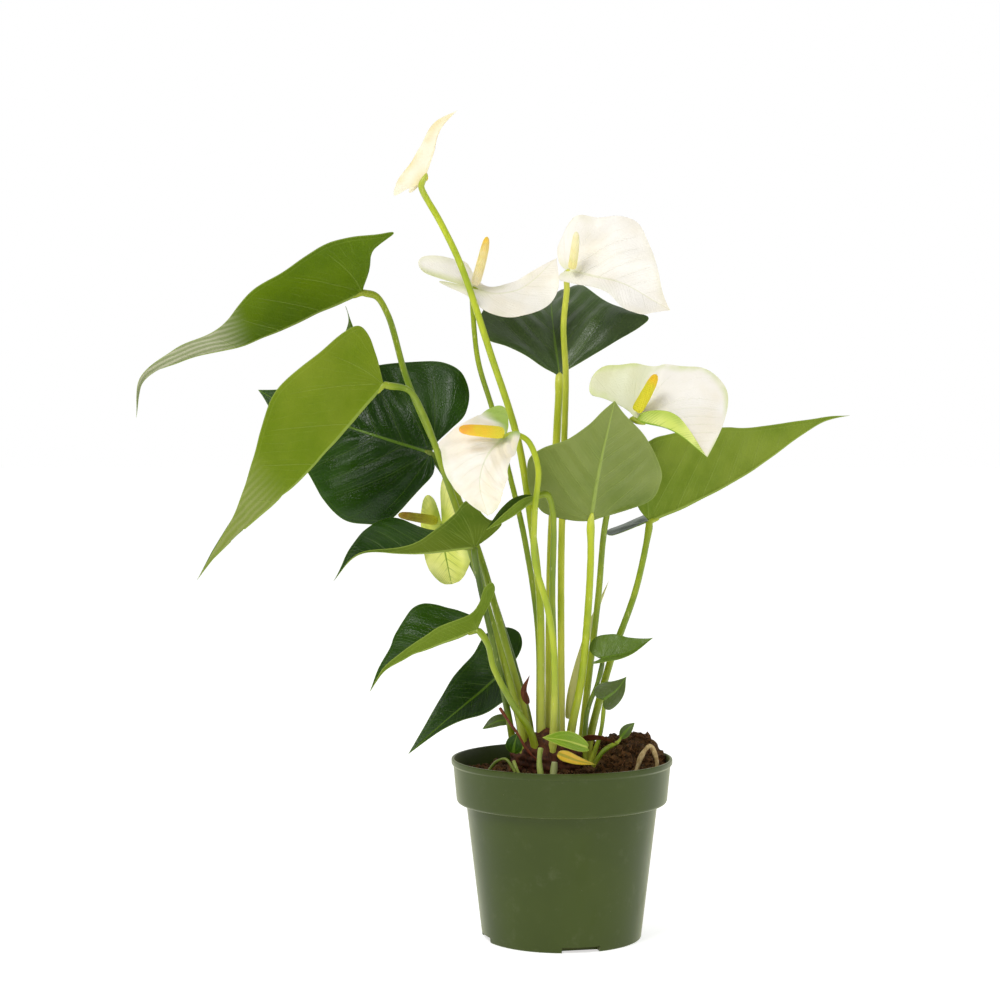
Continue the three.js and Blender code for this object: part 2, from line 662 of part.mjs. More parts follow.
// Both halves of a blade in rows across the midrib, as one closed body.
function bladeGeometry(blade, thickness, { steps, ribs } = LARGE_BLADE) {
  const curve = smoothCurve(blade.rib);
  const length = curve.getLength();
  const positions = [];
  const found = new Map();
  const halves = [];
  const addPoint = (p, share) => {
    const key = p.toArray().map((v) => Math.round(v * 100)).join();
    if (!found.has(key)) {
      found.set(key, positions.length);
      positions.push(p);
      halves.push((thickness / 2) * share);
    }
    return found.get(key);
  };
  const faces = [];
  for (const side of [1, -1]) {
    const width = blade.width[side > 0 ? 0 : 1];
    const line = marginCurve(blade, side).getPoints(OUTLINE_SAMPLES);
    const back = Math.min(...line.map((p) => p.x));
    const rows = [];
    const lobeRows = back < SHORTEST_LOBE ? LOBE_STEPS : 0;
    for (let i = 0; i < lobeRows; i++) rows.push(back * (1 - (i / lobeRows) ** 2));
    for (let i = 0; i <= steps; i++) rows.push(i / steps);
    const grid = rows.map((along) => {
      const [near, far] = crossings(line, along);
      const share = THREE.MathUtils.clamp((far * width) / FULL_THICKNESS_WIDTH, THINNEST_SHARE, 1);
      return Array.from({ length: ribs + 1 }, (_, j) =>
        addPoint(bladePoint(blade, curve, length, side, along, near + ((far - near) * j) / ribs), share),
      );
    });
    for (let i = 0; i < rows.length - 1; i++) {
      for (let j = 0; j < ribs; j++) {
        const quad = [grid[i][j], grid[i][j + 1], grid[i + 1][j + 1], grid[i + 1][j]];
        const corners = side > 0 ? quad.reverse() : quad;
        for (const [a, b, c] of [[0, 1, 2], [0, 2, 3]]) {
          const face = [corners[a], corners[b], corners[c]];
          if (new Set(face).size === 3) faces.push(face);
        }
      }
    }
  }
  return thickened(positions, faces, halves);
}

// Two copies of an open sheet, half the thickness at each point to each side, joined round its boundary.
function thickened(positions, faces, halves) {
  const normals = positions.map(() => new THREE.Vector3());
  const edges = new Map();
  for (const [a, b, c] of faces) {
    const normal = new THREE.Vector3()
      .subVectors(positions[b], positions[a])
      .cross(new THREE.Vector3().subVectors(positions[c], positions[a]))
      .normalize();
    for (const i of [a, b, c]) normals[i].add(normal);
    for (const [from, to] of [[a, b], [b, c], [c, a]]) edges.set(from + "," + to, [from, to]);
  }
  const count = positions.length;
  const out = new Float32Array(count * 6);
  positions.forEach((p, i) => {
    const shift = normals[i].normalize().multiplyScalar(halves[i]);
    p.clone().add(shift).toArray(out, i * 3);
    p.clone().sub(shift).toArray(out, (count + i) * 3);
  });
  const index = [];
  for (const [a, b, c] of faces) index.push(a, b, c, count + c, count + b, count + a);
  for (const [from, to] of edges.values()) {
    if (edges.has(to + "," + from)) continue;
    index.push(from, count + from, count + to, from, count + to, to);
  }
  const geometry = new THREE.BufferGeometry();
  geometry.setAttribute("position", new THREE.BufferAttribute(out, 3));
  geometry.setIndex(index);
  geometry.computeVertexNormals();
  return geometry;
}

// ---------------------------------------------------------------- pot, soil and crown

const bodyRadiusAt = (z) => FOOT_RADIUS + ((BODY_TOP_RADIUS - FOOT_RADIUS) * z) / (POT_HEIGHT - BAND_HEIGHT);

const lathe = (profile, sides) =>
  new THREE.LatheGeometry(profile.map(([r, z]) => new THREE.Vector2(r, z)), sides).rotateX(Math.PI / 2);

function potGeometry() {
  const ledge = POT_HEIGHT - BAND_HEIGHT;
  const outside = [
    [0, 0],
    [FOOT_RADIUS - EDGE_ROUND, 0],
    [FOOT_RADIUS, EDGE_ROUND],
    [bodyRadiusAt(ledge), ledge],
    [BAND_RADIUS - EDGE_ROUND, ledge],
    [BAND_RADIUS, ledge + EDGE_ROUND],
    [RIM_RADIUS - EDGE_ROUND, POT_HEIGHT - LIP_HEIGHT],
    [RIM_RADIUS, POT_HEIGHT - LIP_HEIGHT + EDGE_ROUND],
    [RIM_RADIUS, POT_HEIGHT - EDGE_ROUND],
  ];
  const inside = [
    [RIM_RADIUS - EDGE_ROUND / 2, POT_HEIGHT],
    [RIM_RADIUS - WALL, POT_HEIGHT],
    [BAND_RADIUS - WALL, ledge + WALL],
    [bodyRadiusAt(ledge) - WALL, ledge + WALL],
    [bodyRadiusAt(FLOOR) - WALL, FLOOR],
    [0, FLOOR],
  ];
  let pot = toSolid(lathe([...outside, ...inside], POT_SIDES));
  for (let i = 0; i < NOTCH.count; i++) {
    const box = new THREE.BoxGeometry(NOTCH.width, 2 * NOTCH.depth, 2 * NOTCH.height);
    box.translate(0, -FOOT_RADIUS, 0).rotateZ((2 * Math.PI * i) / NOTCH.count + NOTCH_TURN);
    pot = pot.subtract(toSolid(box));
  }
  for (let i = 0; i < DRAIN_HOLE.count; i++) {
    const { radius, sides } = DRAIN_HOLE;
    const hole = new THREE.CylinderGeometry(radius, radius, 4 * FLOOR, sides).rotateX(Math.PI / 2);
    hole.translate(DRAIN_HOLE.ring, 0, 0).rotateZ((2 * Math.PI * (i + 0.5)) / DRAIN_HOLE.count);
    pot = pot.subtract(toSolid(hole));
  }
  return toGeometry(pot);
}

function soilHeight(x, y) {
  const lumps = 1.3 * Math.sin(0.31 * x + 0.9) * Math.cos(0.27 * y) + 0.8 * Math.sin(0.19 * x - 0.41 * y);
  const mounds = MOUNDS.map((m) => m.height * Math.exp(-((x - m.x) ** 2 + (y - m.y) ** 2) / m.radius ** 2));
  return SOIL_EDGE + lumps + mounds.reduce((a, b) => a + b, 0);
}

function soilSolid() {
  const ledge = POT_HEIGHT - BAND_HEIGHT;
  const inset = WALL + SOIL_GAP;
  const profile = [
    [0, FLOOR + SOIL_GAP],
    [bodyRadiusAt(FLOOR) - inset - 0.5, FLOOR + SOIL_GAP],
    [bodyRadiusAt(ledge) - inset - 0.3, ledge + WALL + SOIL_GAP],
    [BAND_RADIUS - inset, ledge + WALL + SOIL_GAP],
    [BAND_RADIUS + SOIL_FLARE - inset, POT_HEIGHT],
    ...SOIL_RINGS.map((r) => [r, POT_HEIGHT]),
  ];
  const geometry = closedGeometry(lathe(profile, SOIL_SIDES));
  const position = geometry.attributes.position;
  for (let i = 0; i < position.count; i++) {
    if (position.getZ(i) > POT_HEIGHT - 1) position.setZ(i, soilHeight(position.getX(i), position.getY(i)));
  }
  return toSolid(geometry);
}

function crownSolid(grow = 0) {
  const geometry = new THREE.IcosahedronGeometry(1, 3);
  const position = geometry.attributes.position;
  const [a, b, c] = CROWN.size;
  for (let i = 0; i < position.count; i++) {
    const p = new THREE.Vector3().fromBufferAttribute(position, i);
    const lump = 1 + CROWN_LUMP * Math.sin(5 * p.x + 2 * p.z) * Math.cos(4 * p.y);
    position.setXYZ(i, p.x * (a * lump + grow), p.y * (b * lump + grow), p.z * (c * lump + grow));
  }
  geometry.translate(...CROWN.at);
  return toSolid(geometry);
}

// ---------------------------------------------------------------- the assembly

const plant = new THREE.Group();

function add(name, geometry, look) {
  const mesh = new THREE.Mesh(geometry, look);
  mesh.name = name;
  plant.add(mesh);
}

let soil = soilSolid();
let crown = crownSolid();
soil = soil.subtract(crownSolid(FIT_GAP));
for (const { path, radius } of [...Object.values(STALKS), ...Object.values(ROOTS)]) {
  const foot = vector(path[0]);
  const away = foot.clone().sub(vector(path[1])).normalize();
  const longer = [foot.addScaledVector(away, FIT_GAP).toArray(), ...path];
  const socket = toSolid(tube(longer, radius + FIT_GAP));
  soil = soil.subtract(socket);
  crown = crown.subtract(socket);
}

add("pot", potGeometry(), POT_GREEN);
add("soil", toGeometry(largestBody(soil)), SOIL_BROWN);
add("crown", toGeometry(largestBody(crown)), CROWN_BROWN);

for (const [name, leaf] of Object.entries(LEAVES)) {
  const small = leaf.width[0] < SMALL_LEAF_WIDTH;
  const geometry = bladeGeometry(leaf, LEAF_THICKNESS, small ? SMALL_BLADE : LARGE_BLADE);
  add(name, geometry, small ? LEAF_YOUNG : LEAF_GREEN);
}
for (const [name, spathe] of Object.entries(SPATHES)) {
  add(name, bladeGeometry(spathe, SPATHE_THICKNESS), name === "spathe_green" ? SPATHE_GREEN : SPATHE_WHITE);
}
for (const [name, bract] of Object.entries(BRACTS)) {
  const look = name === "cataphyll" ? HUSK_PALE : BRACT_BROWN;
  add(name, bladeGeometry(bract, LEAF_THICKNESS, SMALL_BLADE), look);
}
for (const [name, { path, radius }] of Object.entries(STALKS)) add(name, tube(path, radius), STALK_GREEN);
for (const [name, { path, radius }] of Object.entries(ROOTS)) add(name, tube(path, radius), ROOT_LOOKS[name]);
for (const [name, { from, to, radius }] of Object.entries(SPADICES)) {
  const length = vector(to).distanceTo(vector(from));
  const geometry = lathe(SPADIX_PROFILE.map(([r, z]) => [r * radius, z * length]), SPADIX_SIDES);
  const turn = new THREE.Quaternion().setFromUnitVectors(
    new THREE.Vector3(0, 0, 1),
    vector(to).sub(vector(from)).normalize(),
  );
  geometry.applyQuaternion(turn).translate(...from);
  add(name, geometry, SPADIX_YELLOW);
}

export default plant;
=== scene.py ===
"""A white anthurium in a green nursery pot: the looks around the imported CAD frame.

Lengths in the tables are millimetres, as in the part's source. Blender's metres come in at the end, in make_object().
"""

import math

import bpy
import numpy as np
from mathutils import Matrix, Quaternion, Vector


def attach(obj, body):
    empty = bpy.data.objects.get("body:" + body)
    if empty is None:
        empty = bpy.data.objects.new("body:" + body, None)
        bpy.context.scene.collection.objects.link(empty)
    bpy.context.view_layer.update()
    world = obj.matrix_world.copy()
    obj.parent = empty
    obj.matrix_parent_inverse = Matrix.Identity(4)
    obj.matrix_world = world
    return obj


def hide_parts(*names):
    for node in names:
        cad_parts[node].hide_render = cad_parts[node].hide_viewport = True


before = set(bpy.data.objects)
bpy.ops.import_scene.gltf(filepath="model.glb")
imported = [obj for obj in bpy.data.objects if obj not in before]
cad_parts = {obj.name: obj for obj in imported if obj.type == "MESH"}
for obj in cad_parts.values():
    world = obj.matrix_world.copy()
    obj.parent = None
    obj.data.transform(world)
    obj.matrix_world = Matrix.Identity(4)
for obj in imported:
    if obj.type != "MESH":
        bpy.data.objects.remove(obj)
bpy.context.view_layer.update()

MM = 0.001

# ---------------------------------------------------------------- driving dimensions

POT_HEIGHT = 122
BAND_HEIGHT = 30
RIM_RADIUS = 75
BAND_RADIUS = 71.5
BODY_TOP_RADIUS = 65
FOOT_RADIUS = 54
WALL = 1.8
FLOOR = 2.4
NOTCH = {"width": 26, "height": 3.8, "depth": 9, "count": 4, "turn": 0.22}
DRAIN_HOLE = {"radius": 4.5, "ring": 32, "count": 6}

SOIL_GAP = 0.5
SOIL_EDGE = 109
MOUNDS = [(52, 22, 30, 21), (-6, 4, 30, 9), (20, 38, 32, 9)]  # x, y, radius, height
CROWN = {"at": (-9, -4, 122), "size": (25, 21, 20)}

USUAL_BEND = (10, 10)  # fold at the midrib and curl of the two halves of a blade, in degrees
LEAF_THICKNESS = 0.9
SPATHE_THICKNESS = 0.8
SHORTEST_LOBE = -0.02
VEIN_ANGLE = math.radians(50)
VEIN_BEND = 0.005
LATERAL_VEINS = 7
FAN_VEINS = 1.7
FLOWER_SIZE = 1.75

# ---------------------------------------------------------------- outlines and blades

# An outline is a row of (share of the midrib, share of the width) points. Its first point, (0, 0) at the stalk, and
# its last, (1, 0) at the tip, are left out.

HEART = [(-0.1, 0.12), (-0.2, 0.32), (-0.23, 0.58), (-0.14, 0.85), (0.04, 0.99), (0.22, 0.97), (0.42, 0.82),
    (0.62, 0.57), (0.8, 0.28), (0.92, 0.09)]
OVAL = [(-0.02, 0.3), (0.1, 0.72), (0.32, 1), (0.6, 0.86), (0.85, 0.38)]
LANCE = [(0.02, 0.55), (0.2, 1), (0.5, 0.8), (0.8, 0.35)]

LEAVES = {
    "leaf_upper_left": dict(
        rib=[(-136, 10, 438), (-172, 2, 421), (-212, -5, 403), (-256, -12, 391), (-280, -16, 378),
            (-285, -18, 353)],
        face=(-0.2, 0, 1), width=(60, 52), fold=(38, 38),
        margins=[[(-0.05, 0.3), (-0.08, 0.55), (-0.17, 0.66), (-0.11, 0.75), (0, 0.87), (0.1, 0.91), (0.25, 0.82),
            (0.37, 0.75), (0.46, 0.58), (0.56, 0.34), (0.71, 0.22), (0.82, 0.1)],
            [(-0.03, 0.3), (-0.05, 0.52), (-0.08, 0.66), (-0.04, 0.76), (0.04, 0.82), (0.14, 0.84), (0.26, 0.78),
                (0.38, 0.68), (0.48, 0.52), (0.58, 0.32), (0.71, 0.2), (0.82, 0.1)]],
    ),
    "leaf_left": dict(
        rib=[(-120, -20, 375), (-144, -30, 347), (-175, -40, 312), (-226, -52, 265), (-240, -56, 247)],
        face=(-0.7, 0, 0.7), width=(62, 48), fold=(55, 74), curl=(12, 8),
        margins=[[(-0.04, 0.23), (-0.08, 0.5), (-0.08, 0.68), (-0.02, 0.77), (0.1, 0.83), (0.2, 0.88), (0.3, 0.9),
            (0.38, 0.84), (0.47, 0.72), (0.56, 0.56), (0.66, 0.35), (0.77, 0.17), (0.9, 0.05)],
            [(-0.03, 0.25), (-0.06, 0.55), (-0.11, 0.9), (-0.15, 1.15), (-0.1, 0.95), (0.04, 0.82), (0.26, 0.88),
                (0.4, 0.8), (0.52, 0.62), (0.64, 0.4), (0.76, 0.21), (0.9, 0.07)]],
    ),
    "leaf_left_back": dict(
        rib=[(-90, 35, 328), (-148, 52, 346), (-195, 74, 362), (-214, 84, 372)],
        face=(0.1, -1, 0.2), width=(62, 64), fold=(4, 4), curl=(-18, -18),
        margins=[[(-0.04, 0.1), (-0.05, 0.25), (-0.02, 0.42), (0.04, 0.7), (0.1, 0.9), (0.19, 0.98), (0.3, 1.01),
            (0.43, 0.87), (0.57, 0.62), (0.76, 0.32), (0.9, 0.1)],
            [(-0.01, 0.12), (-0.05, 0.3), (-0.09, 0.52), (-0.07, 0.77), (0, 0.96), (0.09, 1.02), (0.19, 1),
                (0.33, 0.88), (0.52, 0.64), (0.74, 0.34), (0.9, 0.12)]],
    ),
    "leaf_upper_back": dict(
        rib=[(-1, 32, 381), (-5, 56, 416), (-6, 90, 438), (-4, 128, 430)],
        face=(0, -0.75, 0.65), width=(56, 66), fold=(28, 26), curl=(-20, -20),
        margins=[[(0.04, 0.22), (0.1, 0.46), (0.15, 0.68), (0.19, 0.92), (0.3, 0.98), (0.45, 0.8), (0.65, 0.5),
            (0.85, 0.18)],
            [(0.03, 0.14), (0.08, 0.38), (0.14, 0.68), (0.19, 0.93), (0.24, 1.02), (0.3, 0.84), (0.42, 0.62),
                (0.58, 0.42), (0.8, 0.18)]],
    ),
    "leaf_middle": dict(
        rib=[(19, -12, 283), (24, -28, 319), (33, -52, 364)],
        face=(0, 0.8, 0.6), width=(46, 50), fold=(12, 12),
        margins=[[(0.04, 0.2), (0.08, 0.42), (0.13, 0.8), (0.2, 0.98), (0.33, 1.02), (0.46, 0.93), (0.6, 0.77),
            (0.75, 0.52), (0.89, 0.2)],
            [(-0.02, 0.17), (-0.03, 0.4), (-0.02, 0.66), (0.06, 0.8), (0.2, 0.92), (0.36, 0.97), (0.48, 0.8),
                (0.6, 0.5), (0.74, 0.28), (0.89, 0.13)]],
    ),
    "leaf_right": dict(
        rib=[(60, 15, 282), (97, 23, 298), (130, 31, 316), (182, 42, 350), (201, 46, 354)],
        face=(-0.35, 0, 0.9), width=(54, 58), fold=(6, 62), curl=(-8, 8),
        margins=[[(-0.09, 0.03), (-0.16, 0.2), (-0.15, 0.6), (-0.09, 0.9), (0, 0.94), (0.1, 0.92), (0.22, 0.9),
            (0.36, 0.84), (0.5, 0.72), (0.65, 0.52), (0.8, 0.28), (0.92, 0.09)],
            [(-0.03, 0.25), (-0.02, 0.6), (0.04, 0.9), (0.11, 0.98), (0.18, 0.96), (0.3, 0.87), (0.46, 0.69),
                (0.61, 0.44), (0.75, 0.22), (0.87, 0.06)]],
    ),
    "leaf_mid_left": dict(
        rib=[(-59, -25, 267), (-98, -30, 263), (-136, -36, 262), (-152, -40, 245)],
        face=(-0.1, -0.1, 1), width=(36, 44), fold=(52, 40), curl=(10, -30),
        margins=[[(-0.1, 0.2), (-0.18, 0.5), (-0.1, 0.62), (-0.05, 0.8), (0, 1.1), (0.06, 1.12), (0.13, 0.86),
            (0.24, 0.56), (0.37, 0.3), (0.54, 0.11), (0.77, 0.03)],
            [(-0.06, 0.3), (0.02, 0.42), (0.2, 0.48), (0.31, 0.58), (0.42, 0.82), (0.52, 1.01), (0.6, 0.86),
                (0.68, 0.55), (0.76, 0.25), (0.86, 0.08)]],
    ),
    "leaf_narrow": dict(
        rib=[(-20, -34, 299), (-36, -40, 287), (-51, -43, 279)],
        face=(-0.5, -0.4, 0.7), width=(9, 9), fold=(55, 55), outline=OVAL,
    ),
    "leaf_lower_left": dict(
        rib=[(-57, -30, 212), (-80, -35, 204), (-105, -40, 194), (-118, -43, 186), (-128, -45, 172)],
        face=(-0.1, -0.35, 1), width=(26, 34), fold=(78, 22),
        margins=[[(-0.06, 0.3), (-0.14, 0.6), (-0.21, 0.95), (-0.2, 1.18), (-0.13, 1.08), (-0.06, 0.74),
            (0.03, 0.54), (0.17, 0.51), (0.3, 0.48), (0.42, 0.38), (0.54, 0.27), (0.68, 0.17), (0.85, 0.07)],
            [(-0.02, 0.3), (0.06, 0.58), (0.14, 0.78), (0.21, 0.95), (0.29, 1.05), (0.39, 1.02), (0.48, 0.87),
                (0.58, 0.65), (0.68, 0.36), (0.82, 0.14)]],
    ),
    "leaf_bottom_left": dict(
        rib=[(-39, 31, 177), (-62, 24, 158), (-83, 19, 141), (-105, 14, 122)],
        face=(-0.3, -0.85, 0.45), width=(18, 28), fold=(15, 10),
        margins=[[(-0.01, 0.4), (0.03, 0.9), (0.08, 1.25), (0.15, 1.38), (0.25, 1.26), (0.38, 0.95), (0.52, 0.5),
            (0.7, 0.2)],
            [(-0.14, 0.05), (-0.25, 0.22), (-0.3, 0.5), (-0.27, 0.78), (-0.18, 0.98), (-0.07, 1.02), (0.08, 0.86),
                (0.22, 0.8), (0.36, 0.72), (0.52, 0.54), (0.74, 0.28)]],
    ),
    "leaf_small_right": dict(
        rib=[(27, -10, 190), (46, -12, 195), (61, -15, 205)],
        face=(-0.35, -0.75, 0.55), width=(17, 8), fold=(12, 40), curl=(0, 0), lobe=0.8,
    ),
    "leaf_small_grey": dict(
        rib=[(28, -15, 163), (37, -15, 170), (43, -16, 179)],
        face=(-0.3, -0.8, 0.4), width=(11, 10), fold=(12, 12), curl=(0, 0), lobe=0.6,
    ),
    "leaf_sprout_right": dict(
        rib=[(39, -24, 139), (43, -25, 144), (48, -25, 149)],
        face=(-0.3, -0.8, 0.4), width=(4, 4), curl=(0, 0), outline=OVAL,
    ),
    "leaf_sprout_left": dict(
        rib=[(-34, 6, 146), (-43, 4, 146), (-54, 2, 141)],
        face=(0, -0.7, 0.7), width=(5, 5), fold=(15, 15), curl=(0, 0), outline=OVAL,
    ),
    "leaf_sprout_dark": dict(
        rib=[(-33, -26, 129), (-32, -28, 136), (-30, -29, 143)],
        face=(-0.2, -0.9, 0.2), width=(6, 6), fold=(8, 8), curl=(0, 0), outline=OVAL,
    ),
    "leaf_sprout_bright": dict(
        rib=[(16, -38, 134), (2, -43, 139), (-14, -46, 142)],
        face=(0, -0.7, 0.8), width=(8, 8), fold=(14, 14), curl=(0, 0), outline=OVAL,
    ),
    "leaf_fading": dict(
        rib=[(-4, -50, 132), (9, -56, 128), (21, -59, 126)],
        face=(0, -0.8, 0.5), width=(4, 4), curl=(0, 0), outline=LANCE,
    ),
}

SPATHES = {
    "spathe_top": dict(
        rib=[(-95, 1, 511), (-87, 3, 531), (-82, 5, 548), (-71, 8, 560)],
        face=(-1, 0.3, 0), width=(20, 20), fold=(45, 50),
        margins=[[(-0.04, 0.08), (-0.1, 0.3), (-0.14, 0.55), (-0.06, 0.72), (0.16, 0.66), (0.36, 0.52),
            (0.61, 0.37), (0.82, 0.17)],
            [(-0.05, 0.08), (-0.14, 0.35), (-0.28, 0.7), (-0.1, 0.78), (0.16, 0.6), (0.36, 0.52), (0.61, 0.37),
                (0.82, 0.17)]],
    ),
    "spathe_upper_left": dict(
        rib=[(-61, 18, 441), (-46, 21, 437), (-27, 25, 441), (-3, 32, 462)],
        face=(0.1, -0.3, 0.95), width=(26, 30), fold=(20, -22), curl=(45, -20),
        margins=[[(-0.2, 0.01), (-0.42, 0.04), (-0.52, 0.14), (-0.57, 0.38), (-0.54, 0.6), (-0.42, 0.72),
            (-0.26, 0.8), (-0.1, 0.78), (0, 0.5), (0.1, 0.28), (0.25, 0.28), (0.42, 0.34), (0.6, 0.3),
            (0.74, 0.23), (0.88, 0.12)],
            [(-0.15, 0.02), (-0.28, 0.05), (-0.34, 0.12), (-0.22, 0.22), (-0.02, 0.34), (0.16, 0.62),
                (0.38, 0.76), (0.58, 0.76), (0.8, 0.52)]],
    ),
    "spathe_big": dict(
        rib=[(3, -8, 451), (39, -18, 442), (71, -26, 424)],
        face=(0, -0.9, 0.4), width=(54, 18), fold=(6, 10), curl=(0, 10),
        margins=[[(-0.09, 0.08), (-0.15, 0.26), (-0.14, 0.45), (-0.11, 0.65), (-0.04, 0.75), (0.15, 0.8),
            (0.32, 0.85), (0.44, 0.83), (0.56, 0.62), (0.74, 0.32), (0.89, 0.11)],
            [(-0.05, 0.25), (-0.02, 0.5), (0.12, 0.52), (0.24, 0.48), (0.4, 0.62), (0.57, 0.85), (0.73, 1.02),
                (0.83, 0.92), (0.9, 0.42)]],
    ),
    "spathe_hanging": dict(
        rib=[(-38, -46, 341), (-50, -56, 328), (-55, -60, 310), (-50, -58, 289)],
        face=(-0.3, -0.9, 0.2), width=(20, 30), fold=(20, 14),
        margins=[[(-0.08, 0.1), (-0.1, 0.35), (0.1, 0.75), (0.3, 1.02), (0.5, 1.16), (0.68, 1.1), (0.87, 0.68),
            (0.97, 0.3)],
            [(-0.12, 0.12), (-0.23, 0.34), (-0.24, 0.52), (-0.14, 0.68), (0, 0.74), (0.14, 0.8), (0.28, 0.94),
                (0.4, 1.08), (0.46, 0.96), (0.58, 0.78), (0.67, 0.58), (0.77, 0.38), (0.89, 0.2)]],
    ),
    "spathe_green": dict(
        rib=[(-82, 22, 280), (-80, 25, 262), (-75, 24, 238)],
        face=(-0.4, -0.9, 0.1), width=(18, 14), curl=(0, 0),
        margins=[[(-0.3, 0.06), (-0.6, 0.16), (-0.78, 0.4), (-0.66, 0.75), (-0.2, 1), (0.3, 1.12), (0.65, 1.05),
            (0.88, 0.72), (0.98, 0.34)],
            [(-0.2, 0.08), (-0.4, 0.24), (-0.48, 0.55), (-0.36, 0.85), (-0.05, 1.05), (0.35, 1.1), (0.68, 0.98),
                (0.88, 0.68), (0.98, 0.34)]],
    ),
    "spathe_right": dict(
        rib=[(48, -34, 351), (74, -42, 343), (94, -48, 327)],
        face=(0.1, -0.85, 0.5), width=(44, 14), fold=(6, 122), curl=(0, 10),
        margins=[[(-0.11, 0.1), (-0.3, 0.17), (-0.5, 0.2), (-0.64, 0.2), (-0.71, 0.32), (-0.71, 0.55),
            (-0.6, 0.75), (-0.34, 0.89), (0, 1), (0.3, 1.1), (0.46, 1.16), (0.6, 1.1), (0.7, 0.95), (0.84, 0.6),
            (0.94, 0.28)],
            [(0.07, 0.5), (0.3, 0.82), (0.45, 0.82), (0.61, 0.54), (0.82, 0.22)]],
    ),
}

BRACTS = {
    "cataphyll": dict(
        rib=[(5, 17, 146), (12, 19, 176), (22, 22, 212), (33, 24, 241)],
        face=(-0.4, 0.9, 0.1), width=(5, 5), fold=(30, 30), curl=(30, 30), outline=LANCE,
    ),
    "bract_left": dict(
        rib=[(-23, -13, 160), (-26, -15, 169), (-22, -16, 180)],
        face=(0, 1, 0), width=(2.5, 2.5), fold=(20, 20), curl=(0, 0), outline=LANCE,
    ),
    "bract_right": dict(
        rib=[(14, -24, 137), (24, -30, 139), (36, -33, 136)],
        face=(0, 0.5, 0.8), width=(5, 5), curl=(0, 0), outline=LANCE,
    ),
}

SPADICES = {
    "spadix_top": dict(start=(-93, 8, 514), end=(-98, 36, 528), radius=3),
    "spadix_upper_left": dict(start=(-59, 16, 443), end=(-49, 12, 475), radius=3.4),
    "spadix_big": dict(start=(6, -16, 452), end=(10, -24, 476), radius=3),
    "spadix_hanging": dict(start=(-40, -53, 343), end=(-68, -67, 346), radius=4.2),
    "spadix_green": dict(start=(-85, 17, 282), end=(-111, 8, 287), radius=3.4),
    "spadix_right": dict(start=(48, -36, 357), end=(62, -40, 381), radius=4),
}

STALKS = {
    "petiole_upper_left": (2.4, [(-22, -4, 118), (-24, -2, 145), (-39, 0, 202), (-58, 4, 266), (-83, 8, 327),
        (-105, 10, 378), (-118, 11, 422), (-126, 11, 435), (-133, 10, 437)]),
    "petiole_left": (2.3, [(-25, -12, 118), (-28, -11, 146), (-45, -10, 207), (-63, -8, 267), (-80, -8, 317),
        (-93, -10, 354), (-103, -14, 371), (-116, -19, 374)]),
    "petiole_left_back": (2.4, [(-21, 6, 118), (-22, 8, 143), (-42, 16, 214), (-63, 24, 272), (-79, 32, 311),
        (-88, 37, 325)]),
    "petiole_upper_back": (3, [(-8, 5, 118), (-8, 6, 143), (-7, 20, 255), (-3, 30, 337), (-1, 31, 377)]),
    "petiole_middle": (2.6, [(5, -9, 118), (6, -9, 140), (13, -11, 177), (17, -12, 219), (19, -12, 258),
        (19, -12, 279)]),
    "petiole_right": (2.4, [(16, 3, 118), (20, 3, 138), (33, 6, 186), (51, 12, 236), (60, 15, 278)]),
    "petiole_mid_left": (2.1, [(-31, 5, 118), (-37, -6, 155), (-47, -19, 203), (-56, -24, 244), (-59, -25, 263)]),
    "petiole_narrow": (2.2, [(-3, -14, 118), (-4, -16, 147), (-7, -24, 231), (-7, -31, 290), (-11, -33, 302),
        (-17, -33, 301)]),
    "petiole_lower_left": (2.2, [(-17, -15, 122), (-21, -21, 141), (-33, -27, 161), (-46, -30, 186),
        (-50, -31, 202), (-55, -30, 210)]),
    "petiole_bottom_left": (2.2, [(-20, 15, 118), (-22, 18, 143), (-28, 26, 160), (-36, 31, 174)]),
    "petiole_small_right": (1.6, [(15, -7, 120), (17, -6, 153), (24, -8, 174), (27, -10, 187)]),
    "petiole_small_grey": (1.3, [(19, -15, 120), (26, -15, 142), (28, -15, 160)]),
    "petiole_sprout_right": (1.2, [(20, -26, 120), (28, -27, 131), (37, -25, 136)]),
    "peduncle_top": (2.5, [(-13, -4, 118), (-14, -4, 144), (-15, 0, 229), (-21, 4, 283), (-30, 6, 338),
        (-49, 4, 398), (-69, 2, 457), (-82, 1, 484), (-95, 1, 508)]),
    "peduncle_upper_left": (2, [(-14, 12, 118), (-15, 12, 142), (-16, 16, 207), (-25, 17, 269), (-37, 17, 320),
        (-47, 16, 358), (-57, 15, 392), (-61, 19, 434)]),
    "peduncle_big": (2.3, [(0, 12, 118), (0, 13, 160), (0, 18, 255), (2, 20, 337), (3, 18, 381), (1, 4, 415),
        (3, -5, 439)]),
    "peduncle_hanging": (2.2, [(-7, -17, 122), (-6, -21, 144), (-6, -29, 196), (-10, -33, 225), (-19, -37, 259),
        (-19, -41, 292), (-17, -43, 320), (-24, -43, 338), (-33, -43, 342)]),
    "peduncle_green": (1.7, [(-27, 8, 118), (-29, 7, 143), (-46, 10, 204), (-58, 15, 245), (-72, 23, 268),
        (-80, 24, 278)]),
    "peduncle_right": (2.2, [(13, 13, 118), (15, 12, 142), (25, 14, 228), (30, 10, 282), (40, -10, 324),
        (46, -31, 352)]),
}

